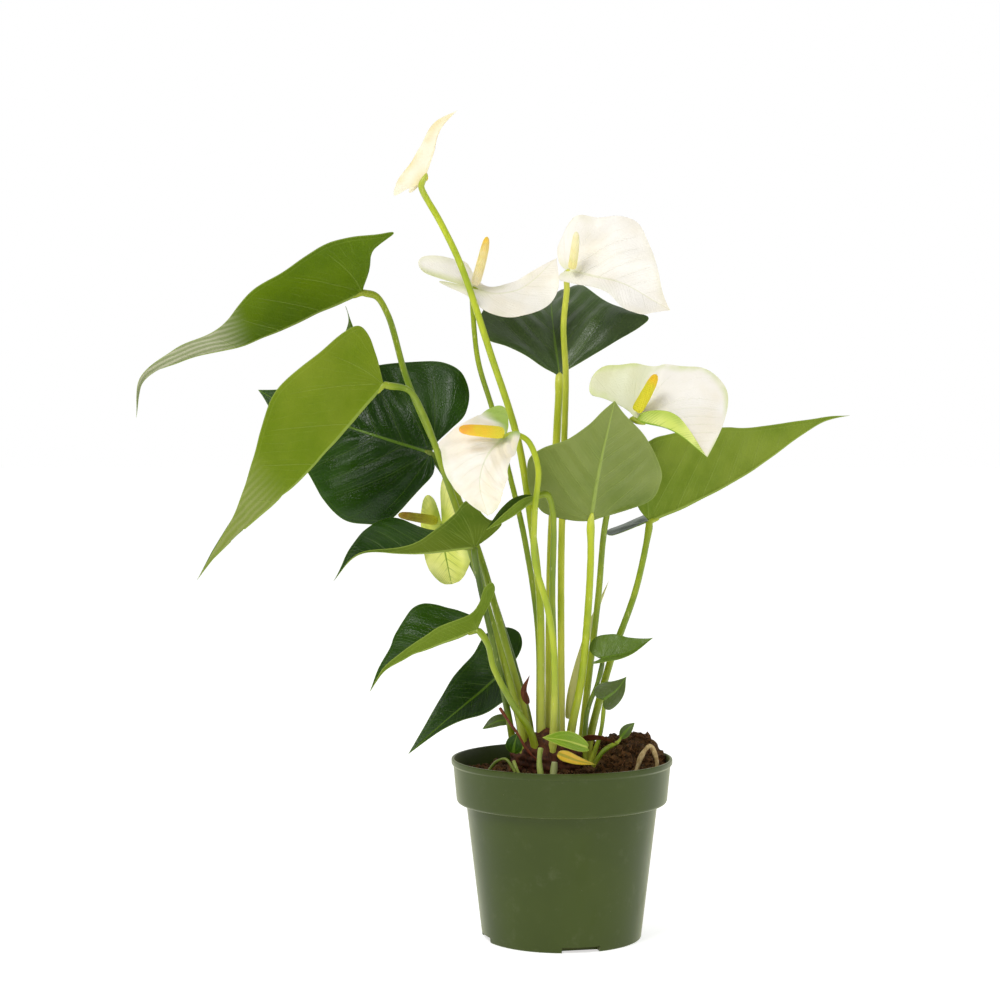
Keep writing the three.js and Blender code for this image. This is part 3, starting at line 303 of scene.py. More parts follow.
ROOTS = {
    "root_arch": (1.7, [(47, -34, 110), (52, -31, 127), (58, -30, 134), (62, -30, 127), (63, -29, 112)]),
    "root_red": (1, [(-42, -20, 158), (-36, -28, 150), (-30, -31, 142), (-24, -33, 132), (-14, -34, 122)]),
    "runner_left": (1.1, [(-58, -28, 108), (-50, -30, 117), (-44, -32, 124), (-38, -36, 126), (-32, -40, 118)]),
    "runner_front": (1.1, [(-33, -44, 126), (-31, -48, 121), (-27, -50, 114), (-24, -50, 106)]),
    "shoot_left": (2.1, [(-14, -52, 104), (-15, -49, 116), (-16, -45, 127), (-15, -41, 134)]),
    "shoot_right": (2.6, [(-7, -54, 104), (-7, -51, 116), (-6, -48, 126)]),
}

# ---------------------------------------------------------------- curves


class Path:
    """A centripetal Catmull-Rom curve through its points, read by its share of the length."""

    def __init__(self, points):
        given = np.array(points, float)
        first = 2 * given[:1] - given[1:2]
        last = 2 * given[-1:] - given[-2:-1]
        p = np.vstack([first, given, last])
        share = np.linspace(0, 1, 60, endpoint=False)[:, None]
        pieces = []
        for a, b, c, d in zip(p, p[1:], p[2:], p[3:]):
            da, db, dc = (max(np.linalg.norm(v) ** 0.5, 1e-4) for v in (b - a, c - b, d - c))
            t1 = ((b - a) / da - (c - a) / (da + db) + (c - b) / db) * db
            t2 = ((c - b) / db - (d - b) / (db + dc) + (d - c) / dc) * db
            cubic = (2 * b - 2 * c + t1 + t2) * share**3 + (3 * c - 3 * b - 2 * t1 - t2) * share**2
            pieces.append(cubic + t1 * share + b)
        self.points = np.vstack(pieces + [given[-1:]])
        steps = np.linalg.norm(np.diff(self.points, axis=0), axis=1)
        self.at = np.r_[0, np.cumsum(steps)]
        self.length = self.at[-1]
        self.tangents = unit(np.gradient(self.points, axis=0))

    def read(self, values, share):
        where = np.clip(share, 0, 1) * self.length
        return np.stack([np.interp(where, self.at, values[:, k]) for k in range(3)], -1)

    def point(self, share):
        return self.read(self.points, share)

    def tangent(self, share):
        return unit(self.read(self.tangents, share))


def unit(v):
    return v / (np.linalg.norm(v, axis=-1, keepdims=True) + 1e-12)


def turns(sides):
    return np.linspace(0, 2 * math.pi, sides, endpoint=False)


def smooth(low, high, x):
    t = np.clip((x - low) / (high - low), 0, 1)
    return t * t * (3 - 2 * t)


def ripples(p, size, seed, waves=7):
    """A smooth random height from -1 to 1 at each point of p, with bumps about that size in mm."""
    rng = np.random.default_rng(seed)
    total = np.zeros(p.shape[:-1])
    for _ in range(waves):
        way = unit(rng.normal(size=3)) * 2 * math.pi / (size * rng.uniform(0.7, 1.6))
        total += np.sin(p @ way + rng.uniform(0, 6.3))
    return total / waves * 1.6


def outline_points(outline, count=60):
    """Points close together along the smooth line from the stalk, through a half outline, to the tip."""
    p = np.array([(0, 0), (0, 0), *outline, (1, 0), (1, 0)], float)
    share = np.linspace(0, 1, count, endpoint=False)[:, None]
    pieces = []
    for a, b, c, d in zip(p, p[1:], p[2:], p[3:]):
        v0, v1 = (c - a) / 2, (d - b) / 2
        cubic = (2 * b - 2 * c + v0 + v1) * share**3 + (3 * c - 3 * b - 2 * v0 - v1) * share**2
        pieces.append(cubic + v0 * share + b)
    return np.vstack(pieces + [p[-1:]])


def crossings(line, along):
    """The half-widths where an outline crosses lines across the midrib: nearest to the midrib, and furthest."""
    back = int(line[:, 0].argmin())
    inner, outer = line[: back + 1][::-1], line[back:]
    near = np.interp(along, np.maximum.accumulate(inner[:, 0]), inner[:, 1])
    far = np.interp(along, np.maximum.accumulate(outer[:, 0]), outer[:, 1])
    near = np.where(along < 0, near, 0)
    return near, np.maximum(near, far)


# ---------------------------------------------------------------- meshes


def make_object(name, points, faces, materials, uvs=None, face_materials=None, sharp=40):
    """A mesh object from points in mm. uvs is {map name: one pair for each face corner}."""
    mesh = bpy.data.meshes.new(name)
    mesh.from_pydata((np.asarray(points) * MM).tolist(), [], faces)
    for material in materials:
        mesh.materials.append(material)
    if face_materials is not None:
        mesh.polygons.foreach_set("material_index", np.asarray(face_materials, np.int32))
    for map_name, pairs in (uvs or {}).items():
        layer = mesh.uv_layers.new(name=map_name)
        layer.data.foreach_set("uv", np.asarray(pairs, np.float32).ravel())
    mesh.validate()
    mesh.shade_smooth()
    mesh.set_sharp_from_angle(angle=math.radians(sharp))
    made = bpy.data.objects.new(name, mesh)
    bpy.context.scene.collection.objects.link(made)
    return made


def settle(made, slot, *nodes):
    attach(made, "root")
    if nodes:
        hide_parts(*nodes)
    return made


def grid_faces(rows, columns, around=False):
    """Quads of a grid of points, row by row. around joins the last column to the first."""
    faces = []
    for i in range(rows - 1):
        for j in range(columns if around else columns - 1):
            k = (j + 1) % columns
            faces.append((i * columns + j, i * columns + k, (i + 1) * columns + k, (i + 1) * columns + j))
    return faces


def rings_mesh(name, rings, ends, material, maps=None, sharp=180, inward=False):
    """A surface through rings of points, closed by a point at each end. maps is {map name: one pair for each point}.
    inward turns its faces over, for rings that run the other way."""
    rows, sides = rings.shape[:2]
    foot, last = rows * sides, (rows - 1) * sides
    faces = [f[::-1] for f in grid_faces(rows, sides, True)]
    for j in range(sides):
        k = (j + 1) % sides
        faces.append((foot, j, k))
        if len(ends) > 1:
            faces.append((foot + 1, last + k, last + j))
    if inward:
        faces = [f[::-1] for f in faces]
    corners = np.concatenate(faces)
    uvs = {key: pairs[corners] for key, pairs in (maps or {}).items()}
    return make_object(name, np.vstack([rings.reshape(-1, 3), ends]), faces, [material], uvs, None, sharp)


# ---------------------------------------------------------------- blades


def blade_frame(spec, path, along):
    """The centre, tangent, normal and left of a blade at shares of its midrib."""
    centre = path.point(along)
    tangent = path.tangent(along)
    face = np.array(spec["face"], float)
    normal = unit(face - tangent * (tangent @ face)[..., None])
    return centre, tangent, normal, np.cross(normal, tangent)


def blade_points(spec, path, along, across, side):
    index = 0 if side > 0 else 1
    centre, tangent, normal, left = blade_frame(spec, path, along)
    centre = centre + tangent * (np.minimum(along, 0) * path.length)[..., None]
    width = spec["width"][index]
    start = math.radians(spec.get("fold", USUAL_BEND)[index])
    turn = math.radians(spec.get("curl", USUAL_BEND)[index]) / width
    distance = across * width
    if abs(turn) < 1e-6:
        out, up = distance * math.cos(start), distance * math.sin(start)
    else:
        end = start + turn * distance
        out = (np.sin(end) - math.sin(start)) / turn
        up = (math.cos(start) - np.cos(end)) / turn
    return centre + side * left * out[..., None] + normal * up[..., None]


def vein_number(x, across, length, laterals, fan):
    """Which vein a point is on, as a whole number, and the room between veins in mm. The veins leave the midrib at
    an angle and bend towards the tip. Those of the lobes fan out from the stalk."""
    ahead = x - VEIN_BEND * across**2
    slope = 1 / math.tan(VEIN_ANGLE)
    start = (ahead - slope * across) / length
    turned = np.arctan2(across, ahead) - VEIN_ANGLE
    reach = np.hypot(across, ahead)
    lateral = start > 0
    number = np.where(lateral, start * laterals, -np.maximum(turned, 0) * fan)
    room = np.where(lateral, length / laterals * math.sin(VEIN_ANGLE), reach / fan)
    return number, np.maximum(room, 1.5)


def blade_mesh(name, spec, look, upper, under):
    """A thin closed blade with its veins. The map "vein" holds the vein's number and the room between veins, "rib"
    the distance from the midrib and the place along it, and "edge" the distance from the margin. All are in cm."""
    path = Path(spec["rib"])
    size = path.length + max(spec["width"])
    halving = 1
    steps = int(np.clip(size * 0.85, 30, 130)) // halving
    columns = int(np.clip(size / 5, 9, 30)) // halving
    seed = sum(map(ord, name))
    veins, fan = look.get("veins", LATERAL_VEINS), look.get("fan", FAN_VEINS)
    points, quads, lift, grids = [], [], [], []
    base = 0
    for side in (1, -1):
        index = 0 if side > 0 else 1
        outline = spec["margins"][index] if "margins" in spec else spec.get("outline", HEART)
        line = outline_points(outline)
        if outline is HEART:
            line[:, 0] = np.where(line[:, 0] < 0, line[:, 0] * spec.get("lobe", 1), line[:, 0])
        back = line[:, 0].min()
        lobe_rows = int(steps * min(0.5, -back) + 6) if back < SHORTEST_LOBE else 0
        rows = back * (1 - np.linspace(0, 1, lobe_rows, endpoint=False) ** 2) if lobe_rows else np.zeros(0)
        along = np.r_[rows, np.linspace(0, 1, steps + 1)][:, None]
        near, far = crossings(line, along)
        width = spec["width"][index]
        share = np.linspace(0, 1, columns + 1)[None, :]
        share = share**1.25 if back >= SHORTEST_LOBE else np.where(along < 0, share, share**1.25)
        across = near + (far - near) * share
        along = along + 0 * share
        p = blade_points(spec, path, along, across, side)
        middle = across * width
        margin = (far - across) * width
        inner = np.where(along < 0, (across - near) * width + 30 * smooth(-0.06, 0, along), 99)
        margin = np.maximum(0, np.minimum(margin, inner))
        number, room = vein_number(along * path.length, middle, path.length, veins, fan)
        full = far * width
        open_space = smooth(0, 9, margin) * smooth(0.5, 9, middle + 9 * (along < 0)) * smooth(2, 14, full)
        h = look.get("quilt", 0.5) * (0.5 - 0.5 * np.cos(2 * math.pi * number)) * open_space * np.minimum(1, room / 9)
        h = h + look.get("wave", 1.0) * smooth(0.25, 1, across / np.maximum(far, 1e-6)) * smooth(4, 25, full) * np.sin(
            2 * math.pi * look.get("waves", 2.6) * along + seed + side
        )
        wrinkle = look.get("wrinkle", 0)
        if wrinkle:
            crease = np.sin(2 * math.pi * (along * 7 - across * 1.9) + 1.9 * ripples(p, 26, seed))
            h = h + wrinkle * crease * smooth(1, 8, middle) * (0.4 + 0.6 * smooth(0, 8, margin))
        h = h + look.get("bumps", 0.35) * ripples(p, 22, seed + 1) * smooth(1, 8, full)
        taper = np.clip(1 - along, 0, 1) ** 0.7
        ridge = np.exp(-((middle / (0.5 + 0.9 * taper)) ** 2)) * taper * smooth(-0.02, 0.01, along) * smooth(0, 4, full)
        points.append(p.reshape(-1, 3))
        lift.append(h.ravel())
        thin = np.clip(full / 5, 0.4, 1) * (0.45 + 0.55 * smooth(0, 3, margin))
        grids.append(np.stack([number, room / 10, middle / 10, along, margin / 10, ridge, thin], -1).reshape(-1, 7))
        for f in grid_faces(len(p), columns + 1):
            quads.append(tuple(base + k for k in (f[::-1] if side > 0 else f)))
        base += points[-1].shape[0]
    points, lift, data = np.vstack(points), np.concatenate(lift), np.vstack(grids)
    _, first, merged = np.unique(np.round(points * 200), axis=0, return_index=True, return_inverse=True)
    merged = merged.ravel()
    sheet, own = points[first], data[first]
    faces, corners = [], []
    for f in quads:
        kept = [k for i, k in enumerate(f) if merged[k] != merged[f[i - 1]]]
        if len(kept) > 2:
            faces.append([int(merged[k]) for k in kept])
            corners.append(kept)
    sheet = sheet + lift[first][:, None] * sheet_normals(sheet, faces)
    normals = sheet_normals(sheet, faces)
    thick = look.get("thick", LEAF_THICKNESS) / 2 * own[:, 6:7]
    rise = own[:, 5:6] * look.get("ridge", 1.1)
    count = len(sheet)
    solid = np.vstack([sheet + normals * (thick + 0.25 * rise), sheet - normals * (thick + rise)])
    out_faces = faces + [[count + k for k in f[::-1]] for f in faces]
    out_corners = corners + [c[::-1] for c in corners]
    kind = [0] * len(faces) + [1] * len(faces)
    sides = {}
    for f, c in zip(faces, corners):
        for i in range(len(f)):
            sides[(f[i - 1], f[i])] = (c[i - 1], c[i])
    for (a, b), (ca, cb) in sides.items():
        if (b, a) not in sides:
            out_faces.append([b, a, count + a, count + b])
            out_corners.append([cb, ca, ca, cb])
            kind.append(1)
    flat = np.concatenate(out_corners)
    maps = {"vein": data[flat, 0:2], "rib": data[flat, 2:4], "edge": data[flat, 4:6]}
    return make_object(name, solid, out_faces, [upper, under], maps, kind, 60)


def sheet_normals(points, faces):
    total = np.zeros_like(points)
    for n in (3, 4):
        some = np.array([f for f in faces if len(f) == n])
        if not len(some):
            continue
        a, b, c = points[some[:, 0]], points[some[:, 1]], points[some[:, -1]]
        d = points[some[:, 2]]
        face = np.cross(b - a, c - a) + (np.cross(d - b, c - b) if n == 4 else 0)
        for k in range(n):
            np.add.at(total, some[:, k], face)
    return unit(total)


# ---------------------------------------------------------------- stalks, roots and spadices


def swept(name, path, radius, material, sides=20, step=1.6, groove=0.07, seed=0, rough=0.02):
    """A round stalk along a path. radius is a function of the share of the length, in mm. The map "stalk" holds
    the share of the length and the share of the turn."""
    count = max(12, int(path.length / step / (1)))
    share = np.linspace(0, 1, count + 1)
    centre, tangent = path.point(share), path.tangent(share)
    normal = np.zeros_like(centre)
    normal[0] = unit(np.cross(tangent[0], (0.31, 0.95, 0.05)))
    for i in range(1, count + 1):
        normal[i] = unit(normal[i - 1] - tangent[i] * (normal[i - 1] @ tangent[i]))
    binormal = np.cross(tangent, normal)
    turn = turns(sides)
    ring = 1 - groove * np.exp(-(((turn - math.pi) / 0.45) ** 2)) + 0.012 * np.cos(6 * turn)
    size = np.array([radius(s) for s in share])[:, None] * ring[None, :]
    round_way = normal[:, None] * np.cos(turn)[None, :, None] + binormal[:, None] * np.sin(turn)[None, :, None]
    points = centre[:, None] + round_way * size[..., None]
    size = size * (1 + rough * ripples(points, 7, seed) + rough * ripples(points, 25, seed + 3))
    points = centre[:, None] + round_way * size[..., None]
    places = np.stack([np.repeat(share, sides), np.tile(turn / (2 * math.pi), count + 1)], -1)
    places = np.vstack([places, (0, 0), (1, 0)])
    return rings_mesh(name, points, [centre[0], centre[-1]], material, {"stalk": places}, 50)


def spadix_mesh(name, start, end, radius, material, seed):
    """A blunt spike covered in small rounded flowers set on crossing spirals. The map "spadix" holds the share
    of the length and the height of the bumps."""
    start, end = np.array(start, float), np.array(end, float)
    length = np.linalg.norm(end - start)
    axis = unit(end - start)
    side = unit(np.cross(axis, (0.2, 0.3, 0.9)))
    other = np.cross(axis, side)
    rows, sides = ((150, 120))
    flowers = int(round(2 * math.pi * radius / FLOWER_SIZE))
    flowers += flowers % 2
    share, turn = np.linspace(0, 1, rows + 1)[:, None], turns(sides)[None, :]
    profile = np.interp(share, [0, 0.03, 0.12, 0.45, 0.75, 0.9, 0.97, 1], [0.55, 0.86, 1, 0.97, 0.86, 0.66, 0.4, 0.0])
    climb = length / FLOWER_SIZE * 2 * math.pi * share / 2
    bump = np.sqrt(np.abs(np.cos(flowers * turn / 2 + climb) * np.cos(flowers * turn / 2 - climb)))
    grow = profile * radius * 0.9 + 0.1 * radius * (bump * 1.3 - 0.3) * np.minimum(1, profile * 1.6)
    bend = 0.05 * length * share**2
    points = start + axis * (share * length)[..., None] + side * (grow * np.cos(turn) + bend)[..., None]
    points = points + other * (grow * np.sin(turn))[..., None]
    points = points + 0.06 * ripples(points, 5, seed)[..., None] * axis
    places = np.stack([np.repeat(share.ravel(), sides), bump.ravel()], -1)
    return rings_mesh(name, points, [start], material, {"spadix": np.vstack([places, (0, 0)])})


# ---------------------------------------------------------------- materials


def colour(red, green, blue):
    """A colour from 0-255 screen values, as linear light."""
    linear = [c / 12.92 if c <= 0.04045 else ((c + 0.055) / 1.055) ** 2.4 for c in (red / 255, green / 255, blue / 255)]
    return (*linear, 1)


class Value:
    """The output of a node, which can be added up like a number."""

    def __init__(self, look, socket):
        self.look, self.socket = look, socket

    def __add__(self, other):
        return self.look.math("ADD", self, other)

    def __sub__(self, other):
        return self.look.math("SUBTRACT", self, other)

    def __mul__(self, other):
        return self.look.math("MULTIPLY", self, other)

    def __truediv__(self, other):
        return self.look.math("DIVIDE", self, other)

    def size(self):
        return self.look.math("ABSOLUTE", self)

    def ease(self, low, high, start=0.0, end=1.0):
        """A smooth step: start up to the value low, end from the value high."""
        sockets = {0: self, 1: low, 2: high, 3: start, 4: end}
        return self.look.node("MapRange", sockets=sockets, interpolation_type="SMOOTHSTEP")


class Look:
    """The nodes of one material, built round its Principled shader."""

    def __init__(self, name, **sockets):
        self.material = bpy.data.materials.new(name)
        self.material.use_nodes = True
        self.tree = self.material.node_tree
        self.shader = self.tree.nodes["Principled BSDF"]
        for key, value in sockets.items():
            self.shader.inputs[key.replace("_", " ").title().replace("Ior", "IOR")].default_value = value
        self.place = self.node("TexCoord", "Object")
        self.tone = None

    def node(self, kind, out=0, sockets=(), **settings):
        made = self.tree.nodes.new("ShaderNode" + kind)
        for key, value in settings.items():
            setattr(made, key, value)
        for key, value in dict(sockets).items():
            if isinstance(value, Value):
                self.tree.links.new(value.socket, made.inputs[key])
            else:
                made.inputs[key].default_value = value
        return Value(self, made.outputs[out])

    def math(self, operation, a, b=0.0):
        return self.node("Math", sockets={0: a, 1: b}, operation=operation)

    def mix(self, mask, a, b):
        return self.node("Mix", 2, {0: mask, 6: a, 7: b}, data_type="RGBA")

    def ground(self, mask, one, other):
        """The material's own colour, between two."""
        self.tone = self.mix(mask, colour(*one), colour(*other))

    def paint(self, mask, tint):
        """Another colour over what is there, where the mask is above 0."""
        self.tone = self.mix(mask, self.tone, colour(*tint))

    def noise(self, scale, detail=3.0, rough=0.55, vector=None):
        sockets = {"Vector": vector or self.place, "Scale": scale, "Detail": detail, "Roughness": rough}
        return self.node("TexNoise", sockets=sockets)

    def cells(self, scale, feature="F1", vector=None):
        return self.node("TexVoronoi", sockets={"Vector": vector or self.place, "Scale": scale}, feature=feature)

    def stretched(self, x, y, z):
        return self.node("Mapping", sockets={"Vector": self.place, "Scale": (x, y, z)})

    def parts(self, map_name):
        """The two numbers of a UV map."""
        split = self.node("SeparateXYZ", sockets={0: self.node("UVMap", uv_map=map_name)})
        return split, Value(self, split.socket.node.outputs[1])

    def line(self, value, width):
        """1 where value is close to a whole number, falling to 0 at the width, a share of the spacing."""
        away = (self.math("FRACT", value + 0.5) - 0.5).size()
        return (away / width).ease(0.25, 1.0, 1.0, 0.0)

    def finish(self, rough=None, height=None, strength=0.4, depth=0.0006):
        self.tree.links.new(self.tone.socket, self.shader.inputs["Base Color"])
        if rough is not None:
            self.tree.links.new(rough.socket, self.shader.inputs["Roughness"])
        if height is not None:
            bump = self.node("Bump", sockets={"Strength": strength, "Distance": depth, "Height": height})
            self.tree.links.new(bump.socket, self.shader.inputs["Normal"])
        return self.material


def blade_masks(look):
    """Where the side veins, the fine veins and the midrib of a blade are, from 0 to 1, and the numbers of its maps."""
    number, room = look.parts("vein")
    middle, along = look.parts("rib")
    edge, _ = look.parts("edge")
    number = number + (look.noise(22.0, 1.0) - 0.5) * 0.08
    side = look.line(number, edge.ease(0.0, 2.5, 0.02, 0.06) / room) * edge.ease(0.3, 1.4)
    bent = number * 4.0 + look.noise(90.0, 2.0) * 0.9
    fine = look.line(bent, look.math("DIVIDE", 0.2, room)) * look.noise(70.0, 2.0).ease(0.35, 0.65)
    midrib = (middle / along.ease(0.0, 1.0, 0.13, 0.035)).ease(0.5, 1.15, 1.0, 0.0) * along.ease(-0.01, 0.005)
    return side, fine, midrib, edge, middle, along


def leaf_material(name, deep, light, vein, roughness, raised, gloss=0.5, pale=0.28, painted_sheen=None, painted_sheen_from=1.0):
    """One face of a leaf. raised is 1 where its veins stand up, and -1 where they are sunk. painted_sheen is the colour
    of
    the painted sheen: pale streaks towards the tip."""
    look = Look(name, specular_ior_level=gloss, roughness=roughness)
    side, fine, midrib, edge, middle, along = blade_masks(look)
    look.ground(look.noise(16.0, 3.0).ease(0.32, 0.68), deep, light)
    look.paint(look.noise(230.0, 2.0, 0.7).ease(0.35, 0.75, 0.0, 0.28), light)
    # Painted sheen: pale streaks towards the tip, in place of the glossy face's reflection.
    if painted_sheen:
        streak = middle * 5.0 + along * 9.0 + look.noise(40.0, 2.0) * 2.5
        streak = look.math("SINE", streak * 3.0).ease(-0.7, 1.0, 0.45, 0.9)
        look.paint(streak * along.ease(painted_sheen_from, painted_sheen_from + 0.18, 0.0, 0.85), painted_sheen)
    look.paint(fine * (0.5 * pale), vein)
    look.paint(side * pale, vein)
    collective_vein = (edge - 0.3).size().ease(0.02, 0.05, 1.0, 0.0)
    look.paint(collective_vein * (pale * 0.5), vein)
    look.paint(midrib * 0.75, vein)
    look.paint(edge.ease(0.03, 0.075, 1.0, 0.0) * 0.5, vein)
    rough = look.noise(55.0, 4.0, 0.65).ease(0.25, 0.75, roughness - 0.09, roughness + 0.12)
    net = look.cells(420.0, "DISTANCE_TO_EDGE").ease(0.0, 0.16)
    height = side * raised + fine * (raised * 0.4) + midrib * 0.7 + net * 0.22 + look.noise(90.0, 3.0) * 0.5
    return look.finish(rough, height, 0.55, 0.0005)


def spathe_material(
    name, base, shade, tinge, veins=0.12, edge=0.2, foot=0.5, lobes=0.0, painted_shade=0.0, roughness=0.42, relief=0.5
):
    """One face of a spathe: its own white, tinged along veins, margin and foot. painted_shade is the share of brown
    laid on in patches as painted shade.
    """
    look = Look(name, roughness=roughness, specular_ior_level=0.4)
    side, fine, midrib, from_edge, middle, along = blade_masks(look)
    look.ground(look.noise(24.0, 3.0).ease(0.35, 0.7), base, shade)
    patch = look.noise(42.0, 2.0).ease(0.4, 0.6)
    look.paint(from_edge.ease(0.0, 0.7, 1.0, 0.0) * (patch * edge), tinge)
    look.paint(side * veins, tinge)
    look.paint(fine * (veins * 0.5), tinge)
    look.paint(midrib * min(1.0, veins * 2 + 0.1), tinge)
    look.paint(middle.ease(0.1, 0.9, 1.0, 0.0) * along.ease(0.0, 0.25, 1.0, 0.0) * foot, tinge)
    if lobes:
        look.paint(along.ease(-0.12, 0.02, lobes, 0.0), tinge)
    # Painted shade: brown patches standing in for the shade on a spathe's underside.
    if painted_shade:
        look.paint(look.noise(34.0, 4.0).ease(0.5, 0.66) * painted_shade, (170, 128, 84))
    rough = look.noise(70.0, 3.0).ease(0.3, 0.7, roughness - 0.08, roughness + 0.1)
    net = look.cells(380.0, "DISTANCE_TO_EDGE").ease(0.0, 0.18)
    height = side * -0.8 + fine * -0.35 + net * 0.2 + look.noise(60.0, 3.0) * 0.9
    return look.finish(rough, height, relief, 0.0005)


def stalk_material(name, foot, body, shade, roughness=0.36):
    """A stalk, paler at its foot, with long streaks, painted shade down one side and small pale dashes."""
    look = Look(name, roughness=roughness, specular_ior_level=0.5)
    along, turn = look.parts("stalk")
    streaks = look.noise(300.0, 3.0, 0.6, look.stretched(1, 1, 0.06))
    look.ground(look.noise(26.0, 3.0).ease(0.35, 0.68), body, shade)
    # Painted shade: the shade colour laid down the grooved side of the stalk.
    look.paint((turn - 0.5).size().ease(0.05, 0.3, 0.35, 0.0), shade)
    look.paint(streaks.ease(0.42, 0.7, 0.0, 0.5), shade)
    look.paint(along.ease(0.0, 0.3, 0.75, 0.0), foot)
    look.paint(along.ease(0.93, 1.0, 0.0, 0.4), foot)
    dashes = look.cells(330.0, vector=look.stretched(1, 1, 0.35)).ease(0.08, 0.2, 0.4, 0.0)
    look.paint(dashes, (214, 216, 132))
    rough = look.noise(140.0, 3.0).ease(0.3, 0.7, roughness - 0.08, roughness + 0.12)
    return look.finish(rough, streaks * 0.8 + dashes * 0.6, 0.45, 0.0004)


def spadix_material(name, foot, middle, tip, crevice_shade):
    look = Look(name, roughness=0.55, specular_ior_level=0.35, subsurface_weight=0.1)
    look.shader.inputs["Subsurface Radius"].default_value = (0.002, 0.001, 0.0004)
    along, bump = look.parts("spadix")
    look.ground(along.ease(0.05, 0.55), foot, middle)
    look.paint(along.ease(0.6, 0.97), tip)
    look.paint(look.noise(190.0, 2.0).ease(0.4, 0.7, 0.0, 0.4), foot)
    # Painted shade: a darker colour between the small flowers, where the bumps are lowest.
    look.paint(bump.ease(0.1, 0.5, 0.75, 0.0), crevice_shade)
    rough = look.noise(300.0, 2.0).ease(0.3, 0.7, 0.45, 0.7)
    return look.finish(rough, look.noise(700.0, 3.0), 0.35, 0.0003)


def earth_material(name, dark, red, tan, scale, rough=0.92):
    look = Look(name, specular_ior_level=0.25, roughness=rough)
    grains = look.noise(scale, 6.0, 0.7)
    look.ground(grains.ease(0.35, 0.65), dark, red)
    look.paint(look.noise(scale * 2.7, 3.0, 0.7).ease(0.58, 0.74, 0.0, 0.7), tan)
    roughness = look.noise(scale * 1.6, 3.0).ease(0.3, 0.7, rough - 0.17, min(1.0, rough + 0.05))
    return look.finish(roughness, grains + look.cells(scale * 3.1) * 0.5, 0.9, 0.0012)


def bark_material(name, dark, light, stretch=0.1, rough=0.75):
    """Dry fibrous skin: bracts, fibres, the crown and the roots."""
    look = Look(name, specular_ior_level=0.3, roughness=rough)
    fibres = look.noise(420.0, 4.0, 0.7, look.stretched(1, 1, stretch))
    look.ground(fibres.ease(0.3, 0.7), dark, light)
    look.paint(look.noise(60.0, 4.0, 0.7).ease(0.5, 0.75, 0.0, 0.6), dark)
    roughness = look.noise(180.0, 3.0).ease(0.3, 0.7, rough - 0.15, rough + 0.12)
    return look.finish(roughness, fibres, 0.8, 0.0007)


def pot_material():
    """Moulded olive-green plastic with a faint grain, fine rings and a little dust, and a painted reflection that makes
    it paler at a glancing angle.
    """
    look = Look("pot_plastic", specular_ior_level=0.3, roughness=0.42)
    cloud = look.noise(11.0, 4.0, 0.6)
    look.ground(cloud.ease(0.3, 0.7), (56, 70, 6), (64, 78, 16))
    look.paint(look.noise(70.0, 6.0, 0.75).ease(0.52, 0.8, 0.0, 0.3), (104, 112, 76))
    specks = look.cells(240.0).ease(0.03, 0.08, 0.35, 0.0) * look.noise(17.0, 2.0).ease(0.5, 0.65)
    look.paint(specks, (150, 150, 118))
    # Painted reflection: a pale colour laid on where the surface turns away from the view, in place of the bright
    # room's glancing reflection.
    painted_reflection = look.node("LayerWeight", "Facing", {"Blend": 0.3})
    look.paint(painted_reflection.ease(0.35, 1.0, 0.0, 0.6), (186, 190, 138))
    rings = look.noise(900.0, 2.0, 0.5, look.stretched(0.02, 0.02, 1))
    scuffs = look.noise(46.0, 5.0, 0.7, look.stretched(1, 1, 0.3)).ease(0.55, 0.75, 0.0, 0.14)
    height = rings * 0.5 + look.noise(1500.0, 2.0, 0.5) * 0.5
    return look.finish(cloud.ease(0.3, 0.7, 0.36, 0.46) + scuffs, height, 0.25, 0.0002)

# ---------------------------------------------------------------- camera, light and floor

CAMERA_AT = (-42, -1600, 361)
CAMERA_AIM = (-42, 0, 297)
CAMERA_LENS = 85.2
KEY = {"at": (-900, -1300, 1800), "aim": (0, 0, 300), "size": (0.9, 0.9), "watts": 22}
FILL = {"at": (1500, -700, 900), "aim": (0, 0, 250), "size": (0.8, 1.4), "watts": 5}
ROOM_LIGHT = 0.3
BACKDROP_LIGHT = 1.0
ROOM_TURN = (-0.25, 0.45)  # where the room's light changes from its front to its back
FLOOR_GLOW = 0.62
FLOOR_SIZE = 12000


def look_at(thing, at, aim):
    thing.location = Vector(at) * MM
    way = Vector(aim) - Vector(at)
    thing.rotation_euler = way.to_track_quat("-Z", "Y").to_euler()
    bpy.context.scene.collection.objects.link(thing)


camera = bpy.data.cameras.new("camera")
camera.sensor_width = 36
camera.lens = CAMERA_LENS
camera.clip_end = 100
camera_object = bpy.data.objects.new("camera", camera)
look_at(camera_object, CAMERA_AT, CAMERA_AIM)
bpy.context.scene.camera = camera_object
bpy.context.scene.view_settings.view_transform = "Standard"


for name, box in (("key", KEY), ("fill", FILL)):
    light = bpy.data.lights.new(name, "AREA")
    light.shape = "RECTANGLE"
    light.size, light.size_y = box["size"]
    light.energy = box["watts"]
    look_at(bpy.data.objects.new(name, light), box["at"], box["aim"])

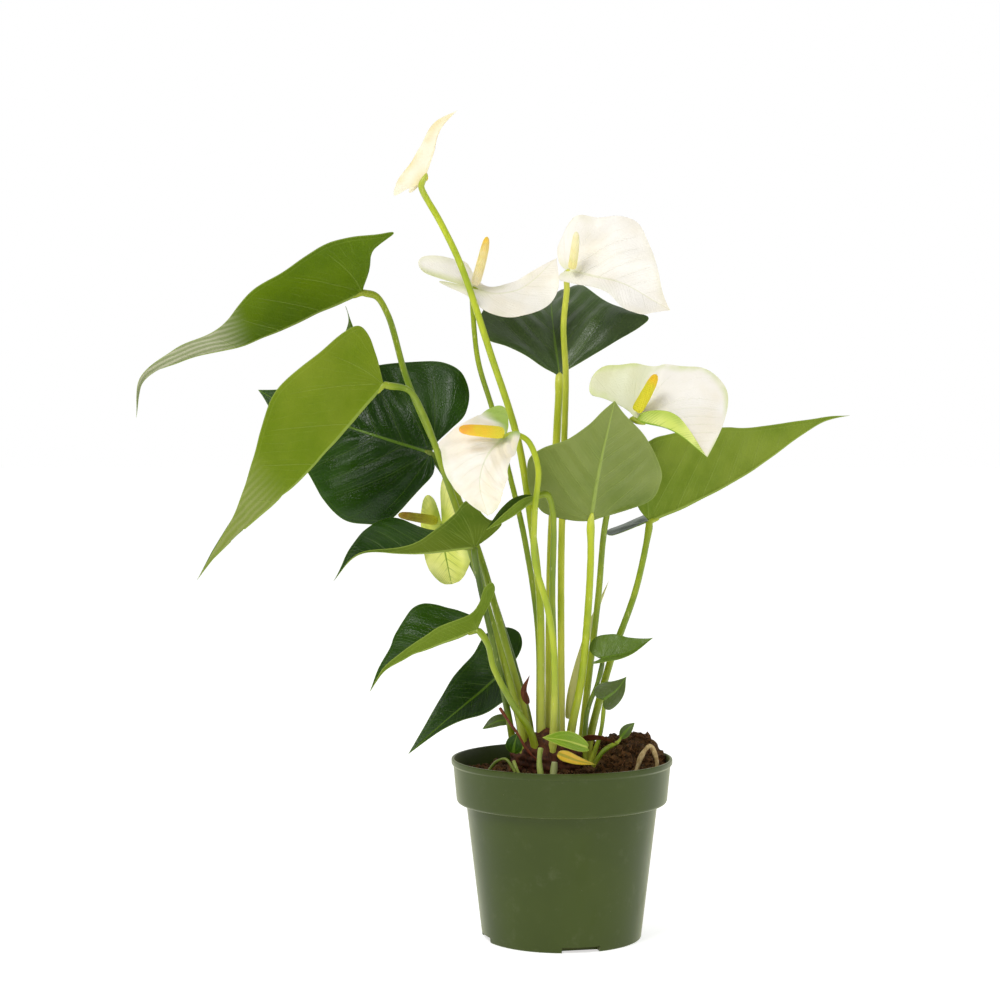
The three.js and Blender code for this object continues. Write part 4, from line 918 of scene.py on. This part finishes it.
# The camera sees a pure white backdrop. Everything else is lit by a room that is dim in front and bright behind.
world = bpy.data.worlds.new("studio")
world.use_nodes = True
sky = world.node_tree
backdrop = sky.nodes["Background"]
backdrop.inputs["Color"].default_value = (1, 1, 1, 1)
room = sky.nodes.new("ShaderNodeBackground")
way = sky.nodes.new("ShaderNodeTexCoord")
parts = sky.nodes.new("ShaderNodeSeparateXYZ")
bright = sky.nodes.new("ShaderNodeMapRange")
bright.interpolation_type = "SMOOTHSTEP"
for key, value in zip(("From Min", "From Max", "To Min", "To Max"), (*ROOM_TURN, ROOM_LIGHT, BACKDROP_LIGHT)):
    bright.inputs[key].default_value = value
seen = sky.nodes.new("ShaderNodeLightPath")
either = sky.nodes.new("ShaderNodeMixShader")
for output, socket in (
    (way.outputs["Generated"], parts.inputs[0]),
    (parts.outputs["Y"], bright.inputs["Value"]),
    (bright.outputs[0], room.inputs["Strength"]),
    (seen.outputs["Is Camera Ray"], either.inputs[0]),
    (room.outputs[0], either.inputs[1]),
    (backdrop.outputs[0], either.inputs[2]),
    (either.outputs[0], sky.nodes["World Output"].inputs["Surface"]),
):
    sky.links.new(output, socket)
bpy.context.scene.world = world

floor_look = Look("floor", roughness=0.95, specular_ior_level=0.0)
floor_look.shader.inputs["Emission Color"].default_value = (1, 1, 1, 1)
floor_look.shader.inputs["Emission Strength"].default_value = FLOOR_GLOW
floor_look.tone = floor_look.mix(floor_look.noise(1.5, 2.0), (0.86, 0.86, 0.86, 1), (0.88, 0.88, 0.88, 1))
corners = [(x * FLOOR_SIZE, y * FLOOR_SIZE, 0) for x, y in ((-1, -1), (1, -1), (1, 1), (-1, 1))]
floor = make_object("floor", corners, [(0, 1, 2, 3)], [floor_look.finish()])

# ---------------------------------------------------------------- pot


def body_radius(z):
    return FOOT_RADIUS + (BODY_TOP_RADIUS - FOOT_RADIUS) * z / (POT_HEIGHT - BAND_HEIGHT)


def rounded(profile, arc=6, step=5.0):
    """A profile of (r, z, corner radius) points as a fine line with rounded corners."""
    line = []
    for i, (r, z, radius) in enumerate(profile):
        here = np.array([r, z], float)
        if radius == 0 or i in (0, len(profile) - 1):
            line.append(here)
            continue
        back = np.array(profile[i - 1][:2], float) - here
        ahead = np.array(profile[i + 1][:2], float) - here
        back, ahead = back / np.linalg.norm(back), ahead / np.linalg.norm(ahead)
        for t in np.linspace(0, 1, arc + 1):
            line.append(here + radius * (back * (1 - t) ** 2 + ahead * t**2))
    fine = [line[0]]
    for a, b in zip(line, line[1:]):
        count = max(1, int(np.linalg.norm(b - a) / step))
        fine += [a + (b - a) * k / count for k in range(1, count + 1)]
    return fine


def prism(outline, low, high):
    """The points and faces of an upright prism over an outline that runs anticlockwise."""
    n = len(outline)
    points = [(x, y, z) for z in (low, high) for x, y in outline]
    faces = [tuple(range(n))[::-1], tuple(range(n, 2 * n))]
    return points, faces + [(k, (k + 1) % n, n + (k + 1) % n, n + k) for k in range(n)]


def make_pot():
    ledge = POT_HEIGHT - BAND_HEIGHT
    profile = rounded([
        (0, 0, 0),
        (FOOT_RADIUS - 8, 0, 0),
        (FOOT_RADIUS, 0, 1.2),
        (body_radius(ledge - 5), ledge - 5, 0),
        (body_radius(ledge), ledge, 0.8),
        (BAND_RADIUS - 0.2, ledge, 2.6),
        (RIM_RADIUS - 1.3, POT_HEIGHT - 4.6, 0.5),
        (RIM_RADIUS, POT_HEIGHT - 3.4, 0.6),
        (RIM_RADIUS, POT_HEIGHT, 0.9),
        (RIM_RADIUS - WALL, POT_HEIGHT, 0.6),
        (BAND_RADIUS - WALL, ledge + WALL, 1.0),
        (body_radius(ledge) - WALL, ledge + WALL, 1.0),
        (body_radius(FLOOR) - WALL, FLOOR, 1.0),
        (0, FLOOR, 0),
    ])
    turn = turns(192)
    rings = np.array([np.stack([r * np.cos(turn), r * np.sin(turn), z + 0 * turn], -1) for r, z in profile[1:-1]])
    ends = [(0, 0, 0), (0, 0, FLOOR)]
    pot = rings_mesh("pot_body", rings, ends, pot_material(), sharp=35, inward=True)
    cuts = []
    for i in range(NOTCH["count"]):
        a = 2 * math.pi * i / NOTCH["count"] + NOTCH["turn"]
        c, s = math.cos(a), math.sin(a)
        w, d = NOTCH["width"] / 2, NOTCH["depth"]
        box = [(x * c - y * s, x * s + y * c) for x, y in ((-w, -d), (w, -d), (w, d), (-w, d))]
        cuts.append(([(x + FOOT_RADIUS * s, y - FOOT_RADIUS * c) for x, y in box], -NOTCH["height"], NOTCH["height"]))
    for i in range(DRAIN_HOLE["count"]):
        a = 2 * math.pi * (i + 0.5) / DRAIN_HOLE["count"]
        x, y = DRAIN_HOLE["ring"] * math.cos(a), DRAIN_HOLE["ring"] * math.sin(a)
        size = DRAIN_HOLE["radius"]
        cuts.append(([(x + size * math.cos(b), y + size * math.sin(b)) for b in turns(28)], -4, 8))
    points, faces = [], []
    for solid in cuts:
        p, f = prism(*solid)
        faces += [tuple(len(points) + k for k in face) for face in f]
        points += p
    cutter = make_object("cutter", points, faces, [])
    cut = pot.modifiers.new("cut", "BOOLEAN")
    cut.operation, cut.solver, cut.object = "DIFFERENCE", "EXACT", cutter
    bpy.context.view_layer.update()
    mesh = bpy.data.meshes.new_from_object(pot.evaluated_get(bpy.context.evaluated_depsgraph_get()))
    pot.modifiers.clear()
    pot.data = mesh
    mesh.set_sharp_from_angle(angle=math.radians(35))
    bpy.data.objects.remove(cutter)
    settle(pot, "pot", "pot")


make_pot()

# ---------------------------------------------------------------- soil and crown


def soil_height(x, y):
    height = SOIL_EDGE + 1.3 * np.sin(0.31 * x + 0.9) * np.cos(0.27 * y) + 0.8 * np.sin(0.19 * x - 0.41 * y)
    for mx, my, radius, rise in MOUNDS:
        height = height + rise * np.exp(-((x - mx) ** 2 + (y - my) ** 2) / radius**2)
    flat = np.stack([x, y, 0 * x], -1)
    rough = 1.5 * np.abs(ripples(flat, 9, 1, 9)) + 1.1 * ripples(flat, 4.2, 2, 9) + 0.5 * ripples(flat, 2.0, 3, 9)
    return height + rough - 0.8


def make_soil(material):
    ledge = POT_HEIGHT - BAND_HEIGHT
    inset = WALL + SOIL_GAP
    sides, count = ((260, 95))
    turn = turns(sides)
    wall = BAND_RADIUS + (RIM_RADIUS - BAND_RADIUS) * (SOIL_EDGE - ledge) / BAND_HEIGHT - inset
    rings = []
    for r in wall * (np.arange(1, count + 1) / count) ** 0.9:
        x, y = r * np.cos(turn), r * np.sin(turn)
        rings.append(np.stack([x, y, soil_height(x, y)], -1))
    for r, z in (
        (BAND_RADIUS - inset, ledge + 4),
        (body_radius(ledge) - inset - 1, ledge),
        (FOOT_RADIUS - inset - 0.5, FLOOR + 0.5),
    ):
        rings.append(np.stack([r * np.cos(turn), r * np.sin(turn), z + 0 * turn], -1))
    ends = [(0, 0, float(soil_height(np.zeros(1), np.zeros(1))[0])), (0, 0, FLOOR + 0.5)]
    return rings_mesh("soil_ball", np.array(rings), ends, material)


def clod_shapes(count, rng):
    """Small closed lumps, each from a twelve-sided solid split once."""
    phi = (1 + 5**0.5) / 2
    corner = [(-1, phi, 0), (1, phi, 0), (-1, -phi, 0), (1, -phi, 0), (0, -1, phi), (0, 1, phi)]
    corner += [(0, -1, -phi), (0, 1, -phi), (phi, 0, -1), (phi, 0, 1), (-phi, 0, -1), (-phi, 0, 1)]
    face = [(0, 11, 5), (0, 5, 1), (0, 1, 7), (0, 7, 10), (0, 10, 11), (1, 5, 9), (5, 11, 4), (11, 10, 2), (10, 7, 6)]
    face += [(7, 1, 8), (3, 9, 4), (3, 4, 2), (3, 2, 6), (3, 6, 8), (3, 8, 9), (4, 9, 5), (2, 4, 11), (6, 2, 10)]
    face += [(8, 6, 7), (9, 8, 1)]
    points = [unit(np.array(c, float)) for c in corner]
    middle, fine = {}, []

    def half(a, b):
        key = (min(a, b), max(a, b))
        if key not in middle:
            middle[key] = len(points)
            points.append(unit(points[a] + points[b]))
        return middle[key]

    for a, b, c in face:
        ab, bc, ca = half(a, b), half(b, c), half(c, a)
        fine += [(a, ab, ca), (b, bc, ab), (c, ca, bc), (ab, bc, ca)]
    ball = np.array(points)
    return [ball * (1 + 0.45 * rng.uniform(-1, 1, (len(ball), 1))) * rng.uniform(0.6, 1.2, 3) for _ in range(count)], fine


def make_crumbs(name, count, sizes, reach, material, seed, lift=0.15):
    rng = np.random.default_rng(seed)
    shapes, faces = clod_shapes(8, rng)
    faces = np.array(faces)
    points, out = [], []
    for i in range(count):
        r, a = reach * rng.uniform(0, 1) ** 0.5, rng.uniform(0, 2 * math.pi)
        x, y = np.array([r * math.cos(a)]), np.array([r * math.sin(a)])
        size = sizes[0] + (sizes[1] - sizes[0]) * rng.uniform(0, 1) ** 3
        spin = np.array(Quaternion(unit(rng.normal(size=4))).to_matrix())
        at = np.array([x[0], y[0], soil_height(x, y)[0] + lift * size])
        out.append(faces + 42 * i)
        points.append(shapes[rng.integers(8)] @ spin.T * size + at)
    return make_object(name, np.vstack(points), np.vstack(out).tolist(), [material], None, None, 30)


def make_fibres(name, count, reach, material, seed):
    """Short fine roots and fibres lying in the surface of the soil."""
    rng = np.random.default_rng(seed)
    points, faces = [], []
    sides, steps = 5, 7
    for _ in range(count):
        r, a = reach * rng.uniform(0, 1) ** 0.5, rng.uniform(0, 2 * math.pi)
        x, y, way = r * math.cos(a), r * math.sin(a), rng.uniform(0, 2 * math.pi)
        length, thick = rng.uniform(4, 15), rng.uniform(0.13, 0.36)
        line = []
        for k in range(steps + 1):
            way += rng.uniform(-0.5, 0.5)
            x += math.cos(way) * length / steps
            y += math.sin(way) * length / steps
            scale = min(1.0, reach / max(1e-6, math.hypot(x, y)))
            x, y = x * scale, y * scale
            z = soil_height(np.array([x]), np.array([y]))[0]
            line.append((x, y, z + 0.3 + rng.uniform(-0.4, 0.9) + 0.5 * math.sin(3 * k / steps)))
        line = np.array(line)
        tangent = unit(np.gradient(line, axis=0))
        normal = unit(np.cross(tangent, (0, 0, 1.0)))
        other = np.cross(tangent, normal)
        base = sum(len(p) for p in points)
        turn = turns(sides)
        slim = thick * np.interp(np.arange(steps + 1), [0, 1, steps - 1, steps], [0.4, 1, 1, 0.3])
        ring = normal[:, None] * np.cos(turn)[None, :, None] + other[:, None] * np.sin(turn)[None, :, None]
        points.append((line[:, None] + ring * slim[:, None, None]).reshape(-1, 3))
        faces += [tuple(base + k for k in f) for f in grid_faces(steps + 1, sides, True)]
        faces += [tuple(base + k for k in range(sides))[::-1], tuple(base + steps * sides + k for k in range(sides))]
    return make_object(name, np.vstack(points), faces, [material], None, None, 60)


def make_crown(material):
    """The short lumpy rhizome, ringed by the scars of old leaves."""
    lat, turn = np.linspace(0.02, math.pi - 0.02, 60)[:, None], turns(90)[None, :]
    ball = np.stack([np.sin(lat) * np.cos(turn), np.sin(lat) * np.sin(turn), np.cos(lat) + 0 * turn], -1)
    size = 0.95 + 0.06 * np.sin(5 * ball[..., 0] + 2 * ball[..., 2]) * np.cos(4 * ball[..., 1])
    rings = 0.02 * np.sin(26 * ball[..., 2] + 2 * ball[..., 0])
    lumps = 0.05 * ripples(ball * 20, 9, 5) + 0.025 * ripples(ball * 20, 3.5, 6)
    points = ball * (size + rings + lumps)[..., None] * np.array(CROWN["size"]) + np.array(CROWN["at"])
    return rings_mesh("crown_rhizome", points, [points[0].mean(0), points[-1].mean(0)], material)


PEAT = earth_material("peat", (46, 32, 12), (96, 66, 30), (142, 106, 62), 240.0)
CLODS = earth_material("peat_clods", (50, 34, 14), (106, 70, 34), (152, 114, 68), 330.0)
FIBRE = bark_material("peat_fibre", (74, 42, 26), (140, 96, 60), 1.0)
REACH = BAND_RADIUS - WALL - 3
settle(make_soil(PEAT), "soil", "soil")
settle(make_crumbs("soil_clods", 1500, (0.8, 4.2), REACH, CLODS, 11), "soil")
settle(make_fibres("soil_fibres", 320, REACH, FIBRE, 12), "soil")
settle(make_crown(bark_material("rhizome", (48, 24, 10), (104, 56, 28), 0.5)), "crown", "crown")

# ---------------------------------------------------------------- leaves

UPPER = {"deep": (22, 52, 0), "light": (40, 74, 0), "vein": (104, 138, 30), "roughness": 0.32, "gloss": 0.26}
UNDER = {"deep": (84, 112, 8), "light": (108, 130, 28), "vein": (152, 172, 76), "roughness": 0.52, "gloss": 0.15}
YOUNG = {"deep": (100, 140, 10), "light": (150, 184, 26), "vein": (206, 218, 96), "roughness": 0.35, "gloss": 0.5}

# What differs from the usual leaf: the colours of the two faces, and the relief in mm.
LEAF_LOOKS = {
    "leaf_upper_left": {
        # Painted sheen: pale streaks towards the tip of this under face.
        "under": {"deep": (80, 108, 0), "light": (98, 124, 0), "painted_sheen": (208, 206, 176), "painted_sheen_from": 0.42},
        "quilt": 0.4,
        "wave": 0.8,
        "veins": 6,
    },
    # leaf_left's under face: partly its own paler yellow-green, partly painted backlight shining through the blade.
    "leaf_left": {
        "upper": {"deep": (60, 88, 8), "light": (84, 108, 20)},
        # Painted sheen: pale streaks towards the tip of this under face.
        "under": {"deep": (106, 130, 4), "light": (124, 142, 28), "painted_sheen": (152, 160, 96), "painted_sheen_from": 0.5},
        "quilt": 0.35,
        "wave": 0.9,
        "veins": 5,
    },
    "leaf_left_back": {"quilt": 1.3, "wave": 1.6, "upper": {"roughness": 0.28, "pale": 0.2}, "bumps": 0.6},
    "leaf_upper_back": {
        "upper": {"deep": (44, 68, 14), "light": (66, 88, 36), "roughness": 0.34, "pale": 0.2, "gloss": 0.5},
        "quilt": 1.1,
        "wave": 1.6,
        "bumps": 0.6,
    },
    "leaf_middle": {
        # Under face: partly its own paler green, partly painted backlight shining through the blade.
        "under": {"deep": (100, 120, 34), "light": (128, 142, 64), "pale": 0.22, "gloss": 0.35, "roughness": 0.42},
        "quilt": 0.9,
        "wave": 1.3,
        "bumps": 0.7,
        "veins": 6,
    },
    # leaf_right's under face: partly its own paler green, partly painted backlight shining through the blade.
    "leaf_right": {"under": {"deep": (98, 122, 16), "light": (126, 144, 42)}, "quilt": 0.8, "wave": 0.8, "veins": 8},
    "leaf_mid_left": {"under": {"deep": (76, 100, 8), "light": (96, 114, 26)}, "quilt": 0.35, "wave": 0.8},
    "leaf_lower_left": {"quilt": 0.35, "wave": 0.7, "veins": 6},
    "leaf_bottom_left": {"quilt": 0.4, "wave": 0.7, "veins": 6},
    "leaf_narrow": {"upper": {"deep": (52, 80, 4), "light": (74, 104, 12)}, "veins": 5, "quilt": 0.1, "wave": 0.2},
}
SMALL = {"quilt": 0.15, "wave": 0.3, "bumps": 0.15, "veins": 5, "ridge": 0.5, "thick": 0.7}
GREY = {"upper": {"deep": (60, 78, 28), "light": (84, 98, 50)}, "under": {"deep": (96, 110, 52), "light": (118, 128, 78)}}
BRIGHT = {"upper": YOUNG, "under": YOUNG}
FADING = {"deep": (206, 168, 30), "light": (232, 190, 48), "vein": (150, 150, 40)}
SMALL_LOOKS = {
    "leaf_small_right": {"upper": {"deep": (78, 108, 20), "light": (110, 134, 52)}},
    "leaf_small_grey": GREY,
    "leaf_sprout_left": GREY,
    "leaf_sprout_right": GREY,
    "leaf_sprout_bright": BRIGHT,
    "leaf_fading": {"upper": FADING, "under": FADING},
}

for name, spec in LEAVES.items():
    small = spec["width"][0] < 16 and name != "leaf_narrow"
    look = {**(SMALL if small else {}), **LEAF_LOOKS.get(name, {}), **SMALL_LOOKS.get(name, {})}
    upper = leaf_material(name + "_upper", raised=-1, **{**UPPER, **look.get("upper", {})})
    under = leaf_material(name + "_under", raised=1, **{**UNDER, **look.get("under", {})})
    blade = blade_mesh("blade_" + name[5:], spec, look, upper, under)
    young = name.startswith("leaf_sprout") or name == "leaf_fading"
    settle(blade, "young_leaf" if young else "leaf", name)

# ---------------------------------------------------------------- spathes and spadices

IVORY = {"base": (253, 249, 240), "shade": (246, 238, 218), "tinge": (196, 206, 96)}
SPATHE_LOOKS = {
    "spathe_top": {
        "front": {"base": (254, 248, 224), "shade": (252, 242, 204), "tinge": (240, 214, 120), "edge": 0.5, "veins": 0.05,
            "relief": 0.1},
        "bumps": 0.5,
    },
    # Its back face has painted shade: a darker shade colour and brown patches for the shaded underside.
    "spathe_upper_left": {"back": {"painted_shade": 0.3, "shade": (236, 224, 198)}, "front": {"veins": 0.04}, "wave": 1.0},
    "spathe_big": {"front": {"veins": 0.05, "foot": 0.3, "edge": 0.1}, "wave": 1.6, "bumps": 0.9},
    "spathe_hanging": {
        "front": {"veins": 0.06, "shade": (250, 240, 216), "lobes": 0.9, "tinge": (150, 184, 40), "foot": 0.7},
        "wrinkle": 1.0,
        "wave": 1.2,
    },
    "spathe_green": {
        "front": {"base": (246, 246, 150), "shade": (218, 226, 86), "tinge": (124, 154, 24), "veins": 0.5, "edge": 0.5},
        "wrinkle": 0.35,
        "quilt": 0.6,
    },
    "spathe_right": {
        "front": {"edge": 0.5, "veins": 0.06, "tinge": (196, 214, 90), "lobes": 0.35},
        "back": {"base": (206, 220, 96), "shade": (226, 232, 140), "tinge": (128, 166, 14), "veins": 0.75, "edge": 0.5},
        "quilt": 0.3,
        "wave": 1.2,
    },
}
for name, spec in SPATHES.items():
    look = {"quilt": 0.15, "thick": SPATHE_THICKNESS, "veins": 7, "ridge": 0.5, **SPATHE_LOOKS[name]}
    front = spathe_material(name + "_front", **{**IVORY, **look.get("front", {})})
    back = spathe_material(name + "_back", **{**IVORY, **look.get("front", {}), **look.get("back", {})})
    settle(blade_mesh("bloom_" + name[7:], spec, look, front, back), "spathe", name)

# The crevice colour is painted shade between the small flowers.
YELLOW = {"foot": (222, 208, 50), "middle": (240, 206, 50), "tip": (250, 190, 50), "crevice_shade": (196, 160, 20)}
SPADIX_LOOKS = {
    "spadix_top": {},
    "spadix_upper_left": {"foot": (246, 232, 190), "middle": (246, 228, 150), "tip": (248, 206, 60)},
    "spadix_big": {"foot": (240, 228, 150), "middle": (250, 242, 190), "tip": (252, 246, 206), "crevice_shade": (226, 210, 140)},
    "spadix_hanging": {"foot": (232, 220, 60), "middle": (248, 208, 52), "tip": (250, 176, 62)},
    "spadix_green": {"foot": (176, 176, 22), "middle": (140, 130, 16), "tip": (150, 108, 20), "crevice_shade": (70, 60, 8)},
    "spadix_right": {"foot": (226, 216, 44), "middle": (224, 214, 46), "tip": (250, 196, 40), "crevice_shade": (180, 170, 16)},
}
for name, spec in SPADICES.items():
    material = spadix_material(name + "_skin", **{**YELLOW, **SPADIX_LOOKS[name]})
    made = spadix_mesh("spike_" + name[7:], **spec, material=material, seed=sum(map(ord, name)))
    settle(made, "spadix", name)

# ---------------------------------------------------------------- stalks, bracts and roots

DARK = stalk_material("stalk_dark", (160, 170, 44), (108, 130, 8), (74, 100, 0))
MID = stalk_material("stalk_mid", (188, 194, 60), (156, 172, 24), (112, 138, 8))
BRIGHT_STALK = stalk_material("stalk_bright", (212, 214, 96), (196, 206, 40), (152, 174, 14))
PALE = stalk_material("stalk_pale", (220, 216, 116), (212, 214, 66), (176, 188, 30))
STALK_LOOKS = {
    "petiole_upper_left": MID,
    "petiole_left": MID,
    "petiole_left_back": DARK,
    "petiole_upper_back": PALE,
    "petiole_middle": BRIGHT_STALK,
    "petiole_right": MID,
    "petiole_mid_left": DARK,
    "petiole_narrow": MID,
    "petiole_lower_left": MID,
    "petiole_bottom_left": DARK,
    "petiole_small_right": DARK,
    "petiole_small_grey": MID,
    "petiole_sprout_right": MID,
    "peduncle_top": BRIGHT_STALK,
    "peduncle_upper_left": MID,
    "peduncle_big": PALE,
    "peduncle_hanging": BRIGHT_STALK,
    "peduncle_green": DARK,
    "peduncle_right": MID,
}


def stalk_radius(radius, length, kind):
    """The radius in mm at a share of the length: a broad sheath at the foot, and a leaf stalk's joint at its top."""

    def at(share):
        rest = (1 - share) * length
        size = radius * (1.12 - 0.24 * share) * (1 + 0.38 * math.exp(-share * length / 16))
        if kind == "petiole":
            size *= 1 + 0.22 * math.exp(-(((rest - 12) / 6) ** 2))
        return size * (0.35 + 0.65 * min(1, rest / 7) ** 0.6)

    return at


for name, (size, path) in STALKS.items():
    kind, end = name.split("_", 1)
    blade = LEAVES["leaf_" + end] if kind == "petiole" else SPATHES["spathe_" + end]
    rib = Path(blade["rib"])
    centre, _, normal, _ = blade_frame(blade, rib, np.array([0.0, min(0.12, 7 / rib.length)]))
    under = centre - normal * np.array([[0.3], [0.5]]) * size
    line = Path(path + under.tolist())
    radius = stalk_radius(size, line.length, kind)
    made = swept("stalk_" + name, line, radius, STALK_LOOKS[name], seed=sum(map(ord, name)))
    settle(made, "stalk", name)

ROOT_LOOKS = {
    "root_arch": bark_material("root_beige", (150, 122, 74), (206, 184, 132), 0.6, 0.65),
    "root_red": bark_material("root_red", (80, 32, 12), (128, 60, 26), 0.2, 0.55),
    "runner_left": stalk_material("runner", (150, 160, 70), (140, 156, 56), (98, 116, 34)),
    "runner_front": stalk_material("runner_front", (150, 160, 70), (140, 156, 56), (98, 116, 34)),
    "shoot_left": stalk_material("shoot_left", (196, 200, 120), (184, 196, 96), (128, 150, 48), 0.5),
    "shoot_right": stalk_material("shoot_right", (206, 204, 160), (196, 202, 136), (148, 156, 80), 0.5),
}
for name, (size, path) in ROOTS.items():
    line = Path(path)
    lumps = 0.16 if name == "root_arch" else 0.07

    def root_radius(share, radius=size, line=line):
        return radius * (1.08 - 0.25 * share) * (1 + 0.08 * math.sin(share * line.length / 2.3))

    made = swept(name + "_skin", line, root_radius, ROOT_LOOKS[name], 16, 0.8, 0.02, 7, lumps)
    settle(made, "root", name)

DRY = bark_material("bract_dry", (74, 34, 14), (124, 68, 34), 0.15, 0.7)
HUSK = stalk_material("husk_pale", (214, 210, 140), (206, 208, 112), (176, 186, 70), 0.5)
for name, spec in BRACTS.items():
    skin = HUSK if name == "cataphyll" else DRY
    look = {"quilt": 0.2, "wave": 0.5, "waves": 3.4, "bumps": 0.4, "veins": 4, "ridge": 0.3, "thick": 0.6}
    settle(blade_mesh(name + "_husk", spec, look, skin, skin), "bract", name)
